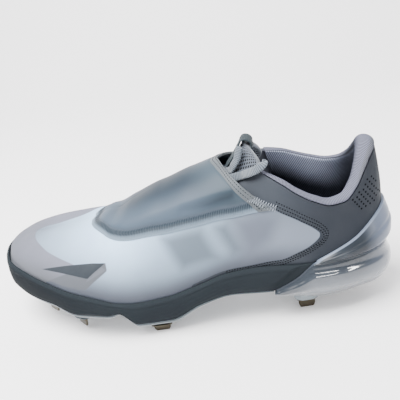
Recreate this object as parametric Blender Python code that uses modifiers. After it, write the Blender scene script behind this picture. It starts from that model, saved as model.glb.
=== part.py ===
"""Left baseball cleat, empty, standing on its metal spikes.

Toe towards -X, outer (lateral) side towards -Y, +Z up, metres. The floor is z = 0, and the origin is
the middle of the shoe's box on the floor. Every shell of the shoe is worked out from one last: a plan
outline round the bite line, and a curved rib that climbs from each point of it to the crown.
"""

import math
from collections import namedtuple

import bmesh
import bpy
from mathutils import Vector

# Driving dimensions
LAST_LENGTH = 0.2935
BALL_WIDTH = 0.1035
INSTEP_HEIGHT = 0.066
HEEL_HEIGHT = 0.069
SOLE_HEIGHT = 0.035
SOLE_LIFT = 0.011
UPPER_WALL = 0.002
GAP = 0.0003

# Sole sizes
CUP_DEPTH = 0.008
RIM_WALL = 0.0022
HEEL_RIM_WALL = 0.0013
SIDEWALL_BELLY = 0.0012
PLATE_WALL = 0.0044
PLATE_INSET = 0.003
HEEL_PROUD = 0.0055
CLIP_WALL = 0.0022
BAG_HEIGHT = 0.0195
INSOLE_WALL = 0.004
INSOLE_CLEARANCE = 0.0009
CLIP_LIP = 0.0015

# Upper sizes
TUCK = 0.0015
COLLAR_RISE = 0.0095
COLLAR_PAD = 0.0105
LINING_DEPTH = 0.034
LINING_WALL = 0.0014
LINING_FLOOR = 0.012
SHROUD_WALL = 0.0016
SHROUD_RAISE = 0.0062
TONGUE_WALL = 0.0045
TONGUE_CLEARANCE = 0.0012
TAB_WIDTH = 0.013
TAB_WALL = 0.0013
TAB_CLEARANCE = 0.0006
LACE_RADIUS = 0.0019

# Spike sizes
BLADE_LENGTH = 0.0074
BLADE_WIDTH = 0.0130
BLADE_WALL = 0.002
FLANGE_WIDTH = 0.0165
FLANGE_WALL = 0.0012
BOSS_MARGIN = 0.0024

# Mesh steps
STATIONS = 40
RISES = 9

# Places along the shoe, as shares of LAST_LENGTH from the toe
TOE_RIDGE_SHARE = 0.095
HEEL_RIDGE_SHARE = 0.13
PLATE_END_SHARE = 0.726
BAG_START_SHARE = 0.728
CLIP_START_SHARE = 0.732
COLLAR_START_SHARE = 0.737
NOTCH_SHARE = 0.348

# One row for each section of the last. along is a share of LAST_LENGTH from the toe; centre and half
# are the middle and half the width, and ridge the crown's place across, as shares of BALL_WIDTH;
# bite is the top edge of the sole and under the bottom of the midsole, as shares of SOLE_HEIGHT;
# crown is the arch's height over the bite line as a share of INSTEP_HEIGHT, and square its fullness.
Section = namedtuple("Section", "along centre half ridge bite under crown square")
SECTIONS = (
    Section(0.000, 0.085, 0.000, 0.100, 1.12, 0.60, 0.10, 2.5),
    Section(0.016, 0.078, 0.170, 0.098, 1.12, 0.57, 0.11, 2.5),
    Section(0.039, 0.070, 0.275, 0.095, 1.11, 0.54, 0.13, 2.5),
    Section(0.089, 0.056, 0.373, 0.090, 1.08, 0.49, 0.20, 2.45),
    Section(0.155, 0.033, 0.448, 0.080, 1.00, 0.45, 0.31, 2.4),
    Section(0.232, 0.005, 0.495, 0.068, 0.84, 0.27, 0.46, 2.3),
    Section(0.312, -0.021, 0.500, 0.050, 0.68, 0.27, 0.63, 2.2),
    Section(0.342, -0.028, 0.490, 0.044, 0.60, 0.32, 0.69, 2.2),
    Section(0.386, -0.036, 0.476, 0.035, 0.57, 0.01, 0.81, 2.15),
    Section(0.466, -0.042, 0.435, 0.024, 0.62, 0.01, 0.94, 2.1),
    Section(0.546, -0.036, 0.400, 0.016, 0.79, 0.29, 0.98, 2.1),
    Section(0.625, -0.024, 0.374, 0.008, 0.98, 0.43, 0.97, 2.15),
    Section(0.705, -0.013, 0.358, 0.002, 1.03, 0.40, 1.17, 2.3),
    Section(0.745, -0.009, 0.355, 0.001, 1.02, 0.41, 1.38, 2.4),
    Section(0.785, -0.006, 0.349, 0.000, 1.00, 0.54, 1.58, 2.45),
    Section(0.866, -0.001, 0.318, 0.000, 0.98, 0.66, 1.82, 2.5),
    Section(0.937, 0.000, 0.243, 0.000, 0.97, 0.68, 1.90, 2.5),
    Section(0.985, 0.000, 0.133, 0.000, 0.97, 0.63, 1.92, 2.5),
    Section(1.000, 0.000, 0.000, 0.000, 0.97, 0.62, 1.92, 2.5),
)

# The collar's edge: height over the bite line as a share of HEEL_HEIGHT, on each side.
Collar = namedtuple("Collar", "along lateral medial")
COLLAR = (
    Collar(0.640, 1.02, 1.02),
    Collar(0.726, 0.95, 0.95),
    Collar(0.777, 0.84, 0.87),
    Collar(0.807, 0.745, 0.81),
    Collar(0.841, 0.66, 0.76),
    Collar(0.880, 0.60, 0.73),
    Collar(0.910, 0.61, 0.75),
    Collar(0.940, 0.72, 0.82),
    Collar(0.968, 0.89, 0.93),
    Collar(0.988, 0.99, 1.00),
    Collar(1.000, 1.02, 1.02),
)

# The padded collar inside that edge: its rise over the edge and its thickness there, as shares of
# COLLAR_RISE and COLLAR_PAD.
Pad = namedtuple("Pad", "along rise thick")
PADS = (
    Pad(0.735, 0.24, 0.26),
    Pad(0.790, 0.44, 0.36),
    Pad(0.880, 0.48, 0.46),
    Pad(0.940, 0.62, 0.72),
    Pad(1.000, 1.00, 1.00),
)

# The heel clip's top edge: height over the floor as a share of SOLE_LIFT + SOLE_HEIGHT.
ClipTop = namedtuple("ClipTop", "along up")
CLIP_TOPS = (
    ClipTop(0.730, 0.58),
    ClipTop(0.785, 0.78),
    ClipTop(0.824, 0.99),
    ClipTop(0.874, 1.14),
    ClipTop(0.928, 1.30),
    ClipTop(0.974, 1.53),
    ClipTop(1.000, 1.66),
)

# The throat slot under the shroud: half its gap, as a share of the section's half width.
Slot = namedtuple("Slot", "along gap")
SLOT = (
    Slot(0.380, 0.00),
    Slot(0.395, 0.16),
    Slot(0.430, 0.27),
    Slot(0.520, 0.36),
    Slot(0.620, 0.43),
    Slot(0.726, 0.55),
)

# The lace shroud's lower edges: how far down from the crown it reaches, as a share of the rib's turn,
# and how much of SHROUD_RAISE its padding has there.
Shroud = namedtuple("Shroud", "along reach padding")
SHROUD = (
    Shroud(0.229, 0.05, 0.18),
    Shroud(0.245, 0.14, 0.20),
    Shroud(0.280, 0.25, 0.24),
    Shroud(0.320, 0.35, 0.26),
    Shroud(0.370, 0.45, 0.34),
    Shroud(0.450, 0.51, 0.48),
    Shroud(0.570, 0.58, 0.66),
    Shroud(0.670, 0.62, 0.86),
    Shroud(0.750, 0.69, 1.00),
)

# The shroud's back edge round the throat: its place along the shoe at a share of the way down.
Throat = namedtuple("Throat", "down along")
THROAT = (
    Throat(0.00, 0.635),
    Throat(0.22, 0.650),
    Throat(0.55, 0.682),
    Throat(0.78, 0.708),
    Throat(0.92, 0.728),
    Throat(1.00, 0.745),
)

# The tongue. Under the upper only half, its half width as a share of BALL_WIDTH, is set. Above the
# throat: places along the shoe and heights, as shares of LAST_LENGTH and of the crown's height at the
# throat, of its middle and of its edge, which falls back round the leg.
Hidden = namedtuple("Hidden", "along half")
HIDDEN_TONGUE = (
    Hidden(0.405, 0.09),
    Hidden(0.430, 0.13),
    Hidden(0.500, 0.18),
    Hidden(0.560, 0.185),
    Hidden(0.605, 0.180),
)
Free = namedtuple("Free", "middle_along middle_up half edge_along edge_up")
FREE_TONGUE = (
    Free(0.636, 0.993, 0.150, 0.655, 0.940),
    Free(0.652, 1.046, 0.160, 0.692, 0.973),
    Free(0.665, 1.099, 0.150, 0.717, 1.022),
    Free(0.674, 1.139, 0.115, 0.712, 1.089),
    Free(0.679, 1.166, 0.060, 0.694, 1.147),
)

# The spikes: place along the shoe, across as a share of the half width, the tip's height over the
# floor as a share of SOLE_LIFT, and the blade's turn from the shoe's length, in degrees.
Spike = namedtuple("Spike", "name along across tip turn")
SPIKES = (
    Spike("toe_lateral", 0.135, -0.72, 1.05, -38),
    Spike("toe_medial", 0.135, 0.74, 1.05, 38),
    Spike("front_lateral", 0.222, -0.78, 0.42, -42),
    Spike("front_medial", 0.222, 0.80, 0.42, 42),
    Spike("ball_lateral", 0.436, -0.86, 0.00, 8),
    Spike("ball_medial", 0.436, 0.84, 0.00, -8),
    Spike("heel_lateral", 0.802, -0.62, 0.00, 10),
    Spike("heel_medial", 0.802, 0.62, 0.00, -10),
)

# The lace where it shows: a loop over the outer top eyelet, and the flat run up the tongue. Points are
# along the shoe, across and up, as shares of LAST_LENGTH, BALL_WIDTH and the crown's height at the
# throat.
LACE_LOOP = (
    (0.617, -0.180, 0.957),
    (0.645, -0.185, 0.979),
    (0.675, -0.194, 0.997),
    (0.684, -0.212, 1.011),
    (0.696, -0.232, 1.027),
    (0.710, -0.243, 1.046),
    (0.723, -0.238, 1.065),
    (0.730, -0.214, 1.073),
    (0.729, -0.190, 1.058),
)
LACE_RUN = (
    (0.562, -0.062, 0.937),
    (0.598, -0.076, 0.965),
    (0.630, -0.096, 0.989),
    (0.648, -0.118, 1.010),
    (0.656, -0.126, 1.044),
    (0.665, -0.120, 1.080),
    (0.670, -0.108, 1.120),
    (0.675, -0.098, 1.160),
)

def hermite(knots, values, at):
    """A smooth curve through the knots that does not overshoot them."""
    last = len(knots) - 1
    if at <= knots[0]:
        return values[0]
    if at >= knots[last]:
        return values[last]
    spot = max(i for i in range(last) if knots[i] <= at)
    slopes = []
    for i in (spot, spot + 1):
        before = (values[i] - values[i - 1]) / (knots[i] - knots[i - 1]) if i > 0 else None
        after = (values[i + 1] - values[i]) / (knots[i + 1] - knots[i]) if i < last else None
        if before is None or after is None:
            slopes.append(after if before is None else before)
        elif before * after <= 0:
            slopes.append(0.0)
        else:
            slopes.append(2 * before * after / (before + after))
    span = knots[spot + 1] - knots[spot]
    s = (at - knots[spot]) / span
    rise = values[spot + 1] - values[spot]
    first, second = slopes[0] * span, slopes[1] * span
    return (
        values[spot]
        + s * first
        + s * s * (3 * rise - 2 * first - second)
        + s * s * s * (first + second - 2 * rise)
    )


def column(table, name, along):
    """A table's column at a place along the shoe."""
    return hermite([row.along for row in table], [getattr(row, name) for row in table], along)


def column_down(down):
    return hermite([row.down for row in THROAT], [row.along for row in THROAT], down)


def turn_of(along):
    """The angle that stands for a place along the shoe, so that outlines close in round ends."""
    return math.acos(max(-1.0, min(1.0, 1 - 2 * along)))


def along_of(turn):
    return (1 - math.cos(turn)) / 2


TURNS = [turn_of(row.along) for row in SECTIONS]


def half_width(turn):
    return BALL_WIDTH * hermite(TURNS, [row.half for row in SECTIONS], turn)


def centre_line(along):
    return BALL_WIDTH * column(SECTIONS, "centre", along)


def outer_reach(side):
    """The last's widest reach to one side, before the origin is put between the two."""
    steps = [math.pi * i / 400 for i in range(401)]
    return max(half_width(a) + side * centre_line(along_of(a)) for a in steps)


SIDEWALL_PROUD = RIM_WALL + SIDEWALL_BELLY
SHOE_LENGTH = SIDEWALL_PROUD + LAST_LENGTH + HEEL_PROUD
TOE_X = -SHOE_LENGTH / 2 + SIDEWALL_PROUD
MIDDLE_Y = (outer_reach(-1) - outer_reach(1)) / 2


def bite_height(along):
    return SOLE_LIFT + SOLE_HEIGHT * column(SECTIONS, "bite", along)


def under_height(along):
    return SOLE_LIFT + SOLE_HEIGHT * column(SECTIONS, "under", along)


def crown_height(along):
    return bite_height(along) + INSTEP_HEIGHT * column(SECTIONS, "crown", along)


def throat_height():
    """The crown's height over the floor where the shroud ends."""
    return crown_height(THROAT[0].along)


def outline(turn, out=0.0):
    """A point of the bite line's plan outline, moved out along its normal. The turn runs from 0 at the
    toe along the lateral side to pi at the heel, and back along the medial side to 2 pi."""

    def plain(angle):
        angle %= 2 * math.pi
        side = -1 if angle <= math.pi else 1
        fold = angle if angle <= math.pi else 2 * math.pi - angle
        along = along_of(fold)
        across = centre_line(along) + side * half_width(fold)
        return Vector((TOE_X + LAST_LENGTH * along, MIDDLE_Y + across))

    here = plain(turn)
    tangent = plain(turn + 0.01) - plain(turn - 0.01)
    normal = Vector((-tangent.y, tangent.x)).normalized()
    return here - normal * out


def along_at(turn):
    turn %= 2 * math.pi
    return along_of(turn if turn <= math.pi else 2 * math.pi - turn)


def ridge_place(along):
    """Where the rib of this section meets the crown, along the shoe."""
    return along + TOE_RIDGE_SHARE * (1 - along) ** 4 - HEEL_RIDGE_SHARE * along**4


def rib_point(turn, climb):
    """A point of the last's skin: climb is 0 at the bite line and a quarter turn at the crown."""
    along = along_at(turn)
    foot = outline(turn)
    top_along = ridge_place(along)
    ridge = BALL_WIDTH * column(SECTIONS, "ridge", top_along)
    top = Vector((TOE_X + LAST_LENGTH * top_along, MIDDLE_Y + ridge))
    power = 2 / column(SECTIONS, "square", along)
    inward = 1 - max(0.0, math.cos(climb)) ** power
    upward = max(0.0, math.sin(climb)) ** power
    flat = foot.lerp(top, inward)
    low = bite_height(along)
    return Vector((flat.x, flat.y, low + (crown_height(top_along) - low) * upward))


def skin(turn, climb, lift=0.0):
    """A point of the last's skin, moved out along the skin's normal."""
    here = rib_point(turn, climb)
    if not lift:
        return here
    step = 0.02
    high = min(math.pi / 2 - 1e-4, climb + step)
    low = max(1e-3, high - 2 * step)
    up = rib_point(turn, high) - rib_point(turn, low)
    along = rib_point(turn + step, climb) - rib_point(turn - step, climb)
    normal = along.cross(up).normalized()
    flat = outline(turn, 1.0) - outline(turn)
    if normal.dot(Vector((flat.x, flat.y, 0.4))) < 0:
        normal = -normal
    return here + normal * lift


def climb_of(along, share):
    """The rib's climb at a share of its height."""
    power = 2 / column(SECTIONS, "square", along)
    return math.asin(min(1.0, share) ** (1 / power))


def edge_climb(turn):
    """The climb at which the upper ends: the crown over the toe, the slot's edge, then the collar."""
    along = along_at(turn)
    side = "lateral" if turn % (2 * math.pi) <= math.pi else "medial"
    climb = math.pi / 2
    if along > SLOT[0].along:
        gap = column(SLOT, "gap", along)
        climb = math.acos(min(1.0, gap ** (column(SECTIONS, "square", along) / 2)))
    if along > COLLAR[0].along:
        tall = crown_height(ridge_place(along)) - bite_height(along)
        collar = climb_of(along, HEEL_HEIGHT * column(COLLAR, side, along) / tall)
        climb = collar if along > SLOT[-1].along else min(climb, collar)
    return climb


def height_climb(turn, height):
    """The climb at a height over the bite line."""
    along = along_at(turn)
    tall = crown_height(ridge_place(along)) - bite_height(along)
    return climb_of(along, height / tall)


def across_point(along, down, lift):
    """A point of the skin: down is 0 at the crown, -1 at the lateral bite line and 1 at the medial."""
    turn = turn_of(along)
    if down > 0:
        turn = 2 * math.pi - turn
    return skin(turn, (1 - abs(down)) * math.pi / 2, lift)


def smooth(start, full, value):
    """0 up to start, 1 from full on, and smooth between."""
    s = max(0.0, min(1.0, (value - start) / (full - start)))
    return s * s * (3 - 2 * s)


def material(name, colour, roughness, metallic=0.0, alpha=1.0):
    made = bpy.data.materials.new(name)
    made.use_nodes = True
    shader = made.node_tree.nodes["Principled BSDF"]
    shader.inputs["Base Color"].default_value = (*colour, 1.0)
    shader.inputs["Roughness"].default_value = roughness
    shader.inputs["Metallic"].default_value = metallic
    shader.inputs["Alpha"].default_value = alpha
    made.diffuse_color = (*colour, alpha)
    return made


def add_object(name, mesh, paint):
    piece = bpy.data.objects.new(name, mesh)
    shoe.objects.link(piece)
    mesh.materials.append(paint)
    mesh.shade_smooth()
    mesh.set_sharp_from_angle(angle=math.radians(40))
    return piece


def mesh_of(name, points, faces):
    """A mesh with doubled points merged and its faces pointing out."""
    mesh = bpy.data.meshes.new(name)
    mesh.from_pydata([tuple(p) for p in points], [], faces)
    work = bmesh.new()
    work.from_mesh(mesh)
    bmesh.ops.remove_doubles(work, verts=work.verts, dist=1e-6)
    bmesh.ops.recalc_face_normals(work, faces=work.faces)
    work.to_mesh(mesh)
    work.free()
    return mesh


def ladder(start, count):
    """Faces that close a ring which runs out along one side and back along the other."""
    half = count // 2
    faces = [(start, start + 1, start + count - 1)]
    faces += [(start + i, start + i + 1, start + count - i - 1, start + count - i) for i in range(1, half - 1)]
    faces.append((start + half - 1, start + half, start + half + 1))
    return faces


def ring_loft(name, rings, paint):
    """A solid through closed rings of equal count, with its first and last ring closed."""
    count = len(rings[0])
    points = [p for ring in rings for p in ring]
    faces = []
    for level in range(len(rings) - 1):
        for i in range(count):
            j = (i + 1) % count
            low, high = level * count, (level + 1) * count
            faces.append((low + i, low + j, high + j, high + i))
    faces += ladder(0, count)
    faces += ladder((len(rings) - 1) * count, count)
    return add_object(name, mesh_of(name, points, faces), paint)


def strip_loft(name, profiles, paint):
    """A solid through closed profiles one after another, with its two ends closed."""
    count = len(profiles[0])
    points = [p for profile in profiles for p in profile]
    faces = []
    for level in range(len(profiles) - 1):
        for i in range(count):
            j = (i + 1) % count
            low, high = level * count, (level + 1) * count
            faces.append((low + i, low + j, high + j, high + i))
    faces.append(tuple(range(count)))
    faces.append(tuple(range((len(profiles) - 1) * count, len(profiles) * count)))
    return add_object(name, mesh_of(name, points, faces), paint)


def slab_loft(name, outer, inner, paint):
    """A solid between two grids of points of equal size, one over the other."""
    rows, columns = len(outer), len(outer[0])
    points = [p for row in outer for p in row] + [p for row in inner for p in row]
    base = rows * columns

    def at(r, c):
        return r * columns + c

    faces = []
    for r in range(rows - 1):
        for c in range(columns - 1):
            quad = (at(r, c), at(r, c + 1), at(r + 1, c + 1), at(r + 1, c))
            faces.append(quad)
            faces.append(tuple(base + i for i in reversed(quad)))
    for r in range(rows - 1):
        for c in (0, columns - 1):
            faces.append((at(r, c), at(r + 1, c), base + at(r + 1, c), base + at(r, c)))
    for c in range(columns - 1):
        for r in (0, rows - 1):
            faces.append((at(r, c), at(r, c + 1), base + at(r, c + 1), base + at(r, c)))
    return add_object(name, mesh_of(name, points, faces), paint)


def level(turns, height, out):
    """Points over the outline at those turns. height is a function of the place along the shoe, and out,
    the distance outside the outline, is a number or a function of the turn."""
    made = []
    for turn in turns:
        flat = outline(turn, out(turn) if callable(out) else out)
        along = max(0.0, min(1.0, (flat.x - TOE_X) / LAST_LENGTH))
        made.append(Vector((flat.x, flat.y, height(along))))
    return made


def ring(height, out):
    """A closed ring of points over the whole outline."""
    return level([math.pi * i / STATIONS for i in range(2 * STATIONS)], height, out)


def build_upper(paint):
    count = 2 * STATIONS
    rows = []
    turns = [2 * math.pi * i / count for i in range(count)]

    def lowest(turn):
        flat = outline(turn, -TUCK)
        return Vector((flat.x, flat.y, bite_height(along_at(turn)) - CUP_DEPTH + GAP))

    rows.append([lowest(turn) for turn in turns])
    for j in range(RISES + 1):
        rows.append([skin(turn, edge_climb(turn) * j / RISES) for turn in turns])
    points = [p for row in rows for p in row]
    faces = []
    for level in range(len(rows) - 1):
        for i in range(count):
            j = (i + 1) % count
            low, high = level * count, (level + 1) * count
            faces.append((low + i, low + j, high + j, high + i))
    mesh = bpy.data.meshes.new("upper")
    mesh.from_pydata([tuple(p) for p in points], [], faces)
    work = bmesh.new()
    work.from_mesh(mesh)
    bmesh.ops.remove_doubles(work, verts=work.verts, dist=1e-5)
    bmesh.ops.dissolve_degenerate(work, dist=1e-6, edges=work.edges)
    bmesh.ops.recalc_face_normals(work, faces=work.faces)
    side = min(work.faces, key=lambda face: face.calc_center_median().y)
    if side.normal.y > 0:
        bmesh.ops.reverse_faces(work, faces=work.faces)
    work.to_mesh(mesh)
    work.free()
    upper = add_object("upper", mesh, paint)
    wall = upper.modifiers.new("wall", "SOLIDIFY")
    wall.thickness = UPPER_WALL
    wall.offset = -1
    wall.use_even_offset = True
    return upper


def partial_loft(name, levels, paint):
    """A solid through open rings of equal count, each closed by a straight line across."""
    count = len(levels[0])
    points = [p for row in levels for p in row]
    faces = []
    for step in range(len(levels) - 1):
        low, high = step * count, (step + 1) * count
        for i in range(count):
            j = (i + 1) % count
            faces.append((low + i, low + j, high + j, high + i))
    for start in (0, (len(levels) - 1) * count):
        for i in range((count - 1) // 2):
            face = (start + i, start + i + 1, start + count - 2 - i, start + count - 1 - i)
            faces.append(face if face[1] != face[2] else (face[0], face[1], face[3]))
    return add_object(name, mesh_of(name, points, faces), paint)


def shared_turns(first, last):
    """Turns from one place to another, through the stations that every shell shares."""
    grid = [math.pi * i / STATIONS for i in range(-STATIONS, 2 * STATIONS)]
    return [first] + [turn for turn in grid if first + 0.02 < turn < last - 0.02] + [last]


def heel_turns(along):
    """Turns from a place on the lateral side, round the heel, to the same place on the medial side."""
    return shared_turns(turn_of(along), 2 * math.pi - turn_of(along))


def toe_turns(along):
    """Turns from a place on the medial side, round the toe, to the same place on the lateral side."""
    return shared_turns(-turn_of(along), turn_of(along))


def clip_front(up):
    """Where the heel clip's slanted front edge crosses a share of the sidewall's height."""
    return CLIP_START_SHARE + 0.092 * up


def build_midsole(paint):
    def floor(along):
        return bite_height(along) - CUP_DEPTH

    def part_way(share):
        return lambda along: under_height(along) + (bite_height(along) - under_height(along)) * share

    def out(share, full):
        def reach(turn):
            front = clip_front(share)
            behind = smooth(front - 0.040, front - 0.016, along_at(turn))
            return full + (min(full, HEEL_RIM_WALL) - full) * behind

        return reach

    rings = [
        ring(floor, GAP),
        ring(bite_height, GAP),
        ring(bite_height, out(1.0, RIM_WALL * 0.7)),
        ring(part_way(0.93), out(0.93, RIM_WALL)),
        ring(part_way(0.62), out(0.62, RIM_WALL + SIDEWALL_BELLY)),
        ring(part_way(0.30), out(0.30, RIM_WALL + SIDEWALL_BELLY * 0.6)),
        ring(part_way(0.08), out(0.08, RIM_WALL - SIDEWALL_BELLY)),
        ring(under_height, -PLATE_INSET * 0.3),
    ]
    return ring_loft("midsole", rings, paint)


def plate_depth(along):
    """The plate's thickness: two pods, with a thin notch between them and a thin arch."""
    notch = 1 - 0.55 * math.exp(-(((along - NOTCH_SHARE) / 0.022) ** 2))
    arch = 1 - 0.45 * smooth(0.48, 0.60, along)
    return PLATE_WALL * notch * arch


def plate_top(along):
    return under_height(along) - GAP


def build_plate(paint):
    turns = toe_turns(PLATE_END_SHARE)

    def part_way(share):
        return lambda along: plate_top(along) - plate_depth(along) * share

    levels = [
        level(turns, plate_top, -PLATE_INSET * 0.75),
        level(turns, part_way(0.30), -PLATE_INSET * 0.35),
        level(turns, part_way(0.75), -PLATE_INSET * 0.9),
        level(turns, part_way(1.0), -PLATE_INSET * 2.0),
    ]
    return partial_loft("outsole_plate", levels, paint)


def bag_bottom(along):
    thin = smooth(BAG_START_SHARE - 0.03, BAG_START_SHARE + 0.13, along)
    return plate_top(along) - BAG_HEIGHT * (0.10 + 0.90 * thin)


def build_heel_bag(paint):
    turns = heel_turns(BAG_START_SHARE)

    def part_way(share):
        return lambda along: plate_top(along) + (bag_bottom(along) - plate_top(along)) * share

    def bulge(share):
        def out(turn):
            full = smooth(BAG_START_SHARE - 0.03, BAG_START_SHARE + 0.10, along_at(turn))
            return HEEL_RIM_WALL + share * HEEL_PROUD * (0.45 + 0.55 * full)

        return out

    levels = [
        level(turns, part_way(0.0), bulge(-0.45)),
        level(turns, part_way(0.12), bulge(-0.02)),
        level(turns, part_way(0.36), bulge(0.27)),
        level(turns, part_way(0.62), bulge(0.18)),
        level(turns, part_way(0.85), bulge(-0.25)),
        level(turns, part_way(1.0), bulge(-1.20)),
    ]
    return partial_loft("heel_bag", levels, paint)


def build_heel_clip(paint):
    profiles = []
    for turn in heel_turns(CLIP_START_SHARE):
        along = along_at(turn)
        low = under_height(along) + GAP
        bite = bite_height(along)
        top = max(low + CLIP_WALL, (SOLE_LIFT + SOLE_HEIGHT) * column(CLIP_TOPS, "up", along))
        back = smooth(0.80, 0.97, along)
        rim = HEEL_RIM_WALL + GAP
        bulge = rim + CLIP_WALL * (1.0 - 0.35 * back) + (HEEL_PROUD - CLIP_WALL) * back * 0.72

        def point(height, out):
            if height <= bite:
                flat = outline(turn, out)
                return Vector((flat.x, flat.y, height))
            return skin(turn, height_climb(turn, height - bite), out)

        seat = min(top, bite)
        over = max(seat, min(top, bite + CLIP_LIP))
        inside = GAP if top > bite + CLIP_LIP else rim
        span = top - low
        profiles.append(
            [
                point(low, rim),
                point(low + (seat - low) * 0.5, rim),
                point(seat, rim) if top > bite else point(low + (top - low) * 0.97, rim),
                point(max(over, low + span * 0.98), inside),
                point(max(over + (top - over) * 0.5, low + span * 0.99), inside),
                point(top, inside),
                point(top, inside + CLIP_WALL * 0.4),
                point(low + span * 0.80, inside + (bulge - inside) * 0.62),
                point(low + span * 0.55, bulge),
                point(low + span * 0.28, bulge * 0.97),
                point(low, rim + CLIP_WALL * 0.55),
            ]
        )
    return strip_loft("heel_clip", profiles, paint)


def build_insole(paint):
    def part_way(share):
        return lambda along: bite_height(along) - CUP_DEPTH + GAP + INSOLE_WALL * share

    edge = -(TUCK + UPPER_WALL + INSOLE_CLEARANCE)
    rings = [
        ring(part_way(0.0), edge),
        ring(part_way(0.7), edge),
        ring(part_way(1.0), edge - INSOLE_WALL * 0.25),
    ]
    return ring_loft("insole", rings, paint)


def build_collar(paint):
    profiles = []
    for turn in heel_turns(COLLAR_START_SHARE):
        along = along_at(turn)
        side = "lateral" if turn <= math.pi else "medial"
        edge = HEEL_HEIGHT * column(COLLAR, side, along)
        rise = COLLAR_RISE * column(PADS, "rise", along)
        thick = COLLAR_PAD * column(PADS, "thick", along)
        wall = UPPER_WALL + GAP * 1.5
        depth = min(LINING_DEPTH, edge - LINING_FLOOR)

        def point(height, lift):
            return skin(turn, height_climb(turn, height), lift)

        profiles.append(
            [
                point(edge - depth, -wall),
                point(edge - depth * 0.5, -wall),
                point(edge + GAP * 1.5, -wall),
                point(edge + GAP * 2.5, -GAP),
                point(edge + rise * 0.45, GAP),
                point(edge + rise * 0.82, -wall * 0.45 - thick * 0.10),
                point(edge + rise, -wall - thick * 0.42),
                point(edge + rise * 0.80, -wall - thick * 0.86),
                point(edge + rise * 0.20 - thick * 0.2, -wall - thick),
                point(edge - depth * 0.50, -wall - thick * 0.62 - LINING_WALL * 0.3),
                point(edge - depth, -wall - LINING_WALL),
            ]
        )
    return strip_loft("collar", profiles, paint)


def build_shroud(paint):
    rows, columns = 19, 17
    outer, inner = [], []
    start, end = SHROUD[0].along, SHROUD[-1].along
    for r in range(rows):
        u = r / (rows - 1)
        outer_row, inner_row = [], []
        for c in range(columns):
            w = -1 + 2 * c / (columns - 1)
            w = math.copysign(abs(w) ** 0.8, w)
            back = column_down(abs(w))
            along = start + (back - start) * u
            reach = column(SHROUD, "reach", along)
            padding = SHROUD_RAISE * column(SHROUD, "padding", along)
            side = 1 - smooth(0.62, 0.88, abs(w))
            front = smooth(0.03, 0.16, u)
            lift = SHROUD_WALL + GAP * 2 + padding * side * front
            outer_row.append(across_point(along, w * reach, lift))
            inner_row.append(across_point(along, w * reach, lift - SHROUD_WALL))
        outer.append(outer_row)
        inner.append(inner_row)
    return slab_loft("lace_shroud", outer, inner, paint)


def grid_offset(grid, distance):
    """The grid moved along its own normals."""
    rows, columns = len(grid), len(grid[0])
    moved = []
    for r in range(rows):
        row = []
        for c in range(columns):
            down = grid[min(r + 1, rows - 1)][c] - grid[max(r - 1, 0)][c]
            over = grid[r][min(c + 1, columns - 1)] - grid[r][max(c - 1, 0)]
            row.append(grid[r][c] + down.cross(over).normalized() * distance)
        moved.append(row)
    return moved


def under_skin(along, half, share, depth):
    """A point across the shoe at a share of a half width, under the skin by a depth."""
    side = 1 if share > 0 else -1
    turn = turn_of(along)
    if side > 0:
        turn = 2 * math.pi - turn
    foot = outline(turn).y
    crown = MIDDLE_Y + BALL_WIDTH * column(SECTIONS, "ridge", along)
    across = MIDDLE_Y + BALL_WIDTH * half * share
    q = max(0.0, min(1.0, (across - crown) / (foot - crown)))
    climb = math.acos(q ** (column(SECTIONS, "square", along) / 2))
    return skin(turn, climb, -depth)


def tongue_grid():
    columns = 11
    grid = []
    for row in HIDDEN_TONGUE:
        depth = UPPER_WALL + TONGUE_CLEARANCE
        shares = [-1 + 2 * c / (columns - 1) for c in range(columns)]
        grid.append([under_skin(row.along, row.half, share, depth) for share in shares])
    for row in FREE_TONGUE:
        line = []
        for c in range(columns):
            share = -1 + 2 * c / (columns - 1)
            back = abs(share) ** 2.2
            along = row.middle_along + (row.edge_along - row.middle_along) * back
            up = row.middle_up + (row.edge_up - row.middle_up) * back
            line.append(
                Vector(
                    (
                        TOE_X + LAST_LENGTH * along,
                        MIDDLE_Y + BALL_WIDTH * (row.half * share - 0.008),
                        throat_height() * up,
                    )
                )
            )
        grid.append(line)
    return grid


def build_tongue(paint):
    grid = tongue_grid()
    under = grid_offset(grid, TONGUE_WALL)
    middle = len(grid[0]) // 2
    if under[1][middle].z > grid[1][middle].z:
        under = grid_offset(grid, -TONGUE_WALL)
    return slab_loft("tongue", grid, under, paint)


def build_pull_tab(paint):
    """A strap that rises along the middle of the tongue and folds over its top."""
    grid = tongue_grid()
    middle = len(grid[0]) // 2
    spine = [row[middle] for row in grid[len(HIDDEN_TONGUE) - 1 :]]
    outward = []
    for i, point in enumerate(spine):
        along = spine[min(i + 1, len(spine) - 1)] - spine[max(i - 1, 0)]
        outward.append(Vector((-along.z, 0, along.x)).normalized())
    near = [p + n * (TAB_CLEARANCE + TAB_WALL / 2) for p, n in zip(spine, outward)]
    near = near[1:]
    top = near[-1]
    fold = (TONGUE_WALL + TAB_WALL) / 2 + 2 * TAB_CLEARANCE
    rise = (near[-1] - near[-2]).normalized()
    back = Vector((rise.z, 0, -rise.x))
    path = list(near)
    for step in range(1, 6):
        angle = math.pi * step / 5
        path.append(top + rise * fold * (0.35 + math.sin(angle)) + back * fold * (1 - math.cos(angle)))
    path.append(path[-1] - rise * fold * 0.45 + back * fold * 0.35)
    profiles = []
    for i, point in enumerate(path):
        along = path[min(i + 1, len(path) - 1)] - path[max(i - 1, 0)]
        normal = Vector((-along.z, 0, along.x)).normalized() * (TAB_WALL / 2)
        side = Vector((0, TAB_WIDTH / 2, 0))
        profiles.append([point - side + normal, point + side + normal, point + side - normal, point - side - normal])
    return strip_loft("pull_tab", profiles, paint)


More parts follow.
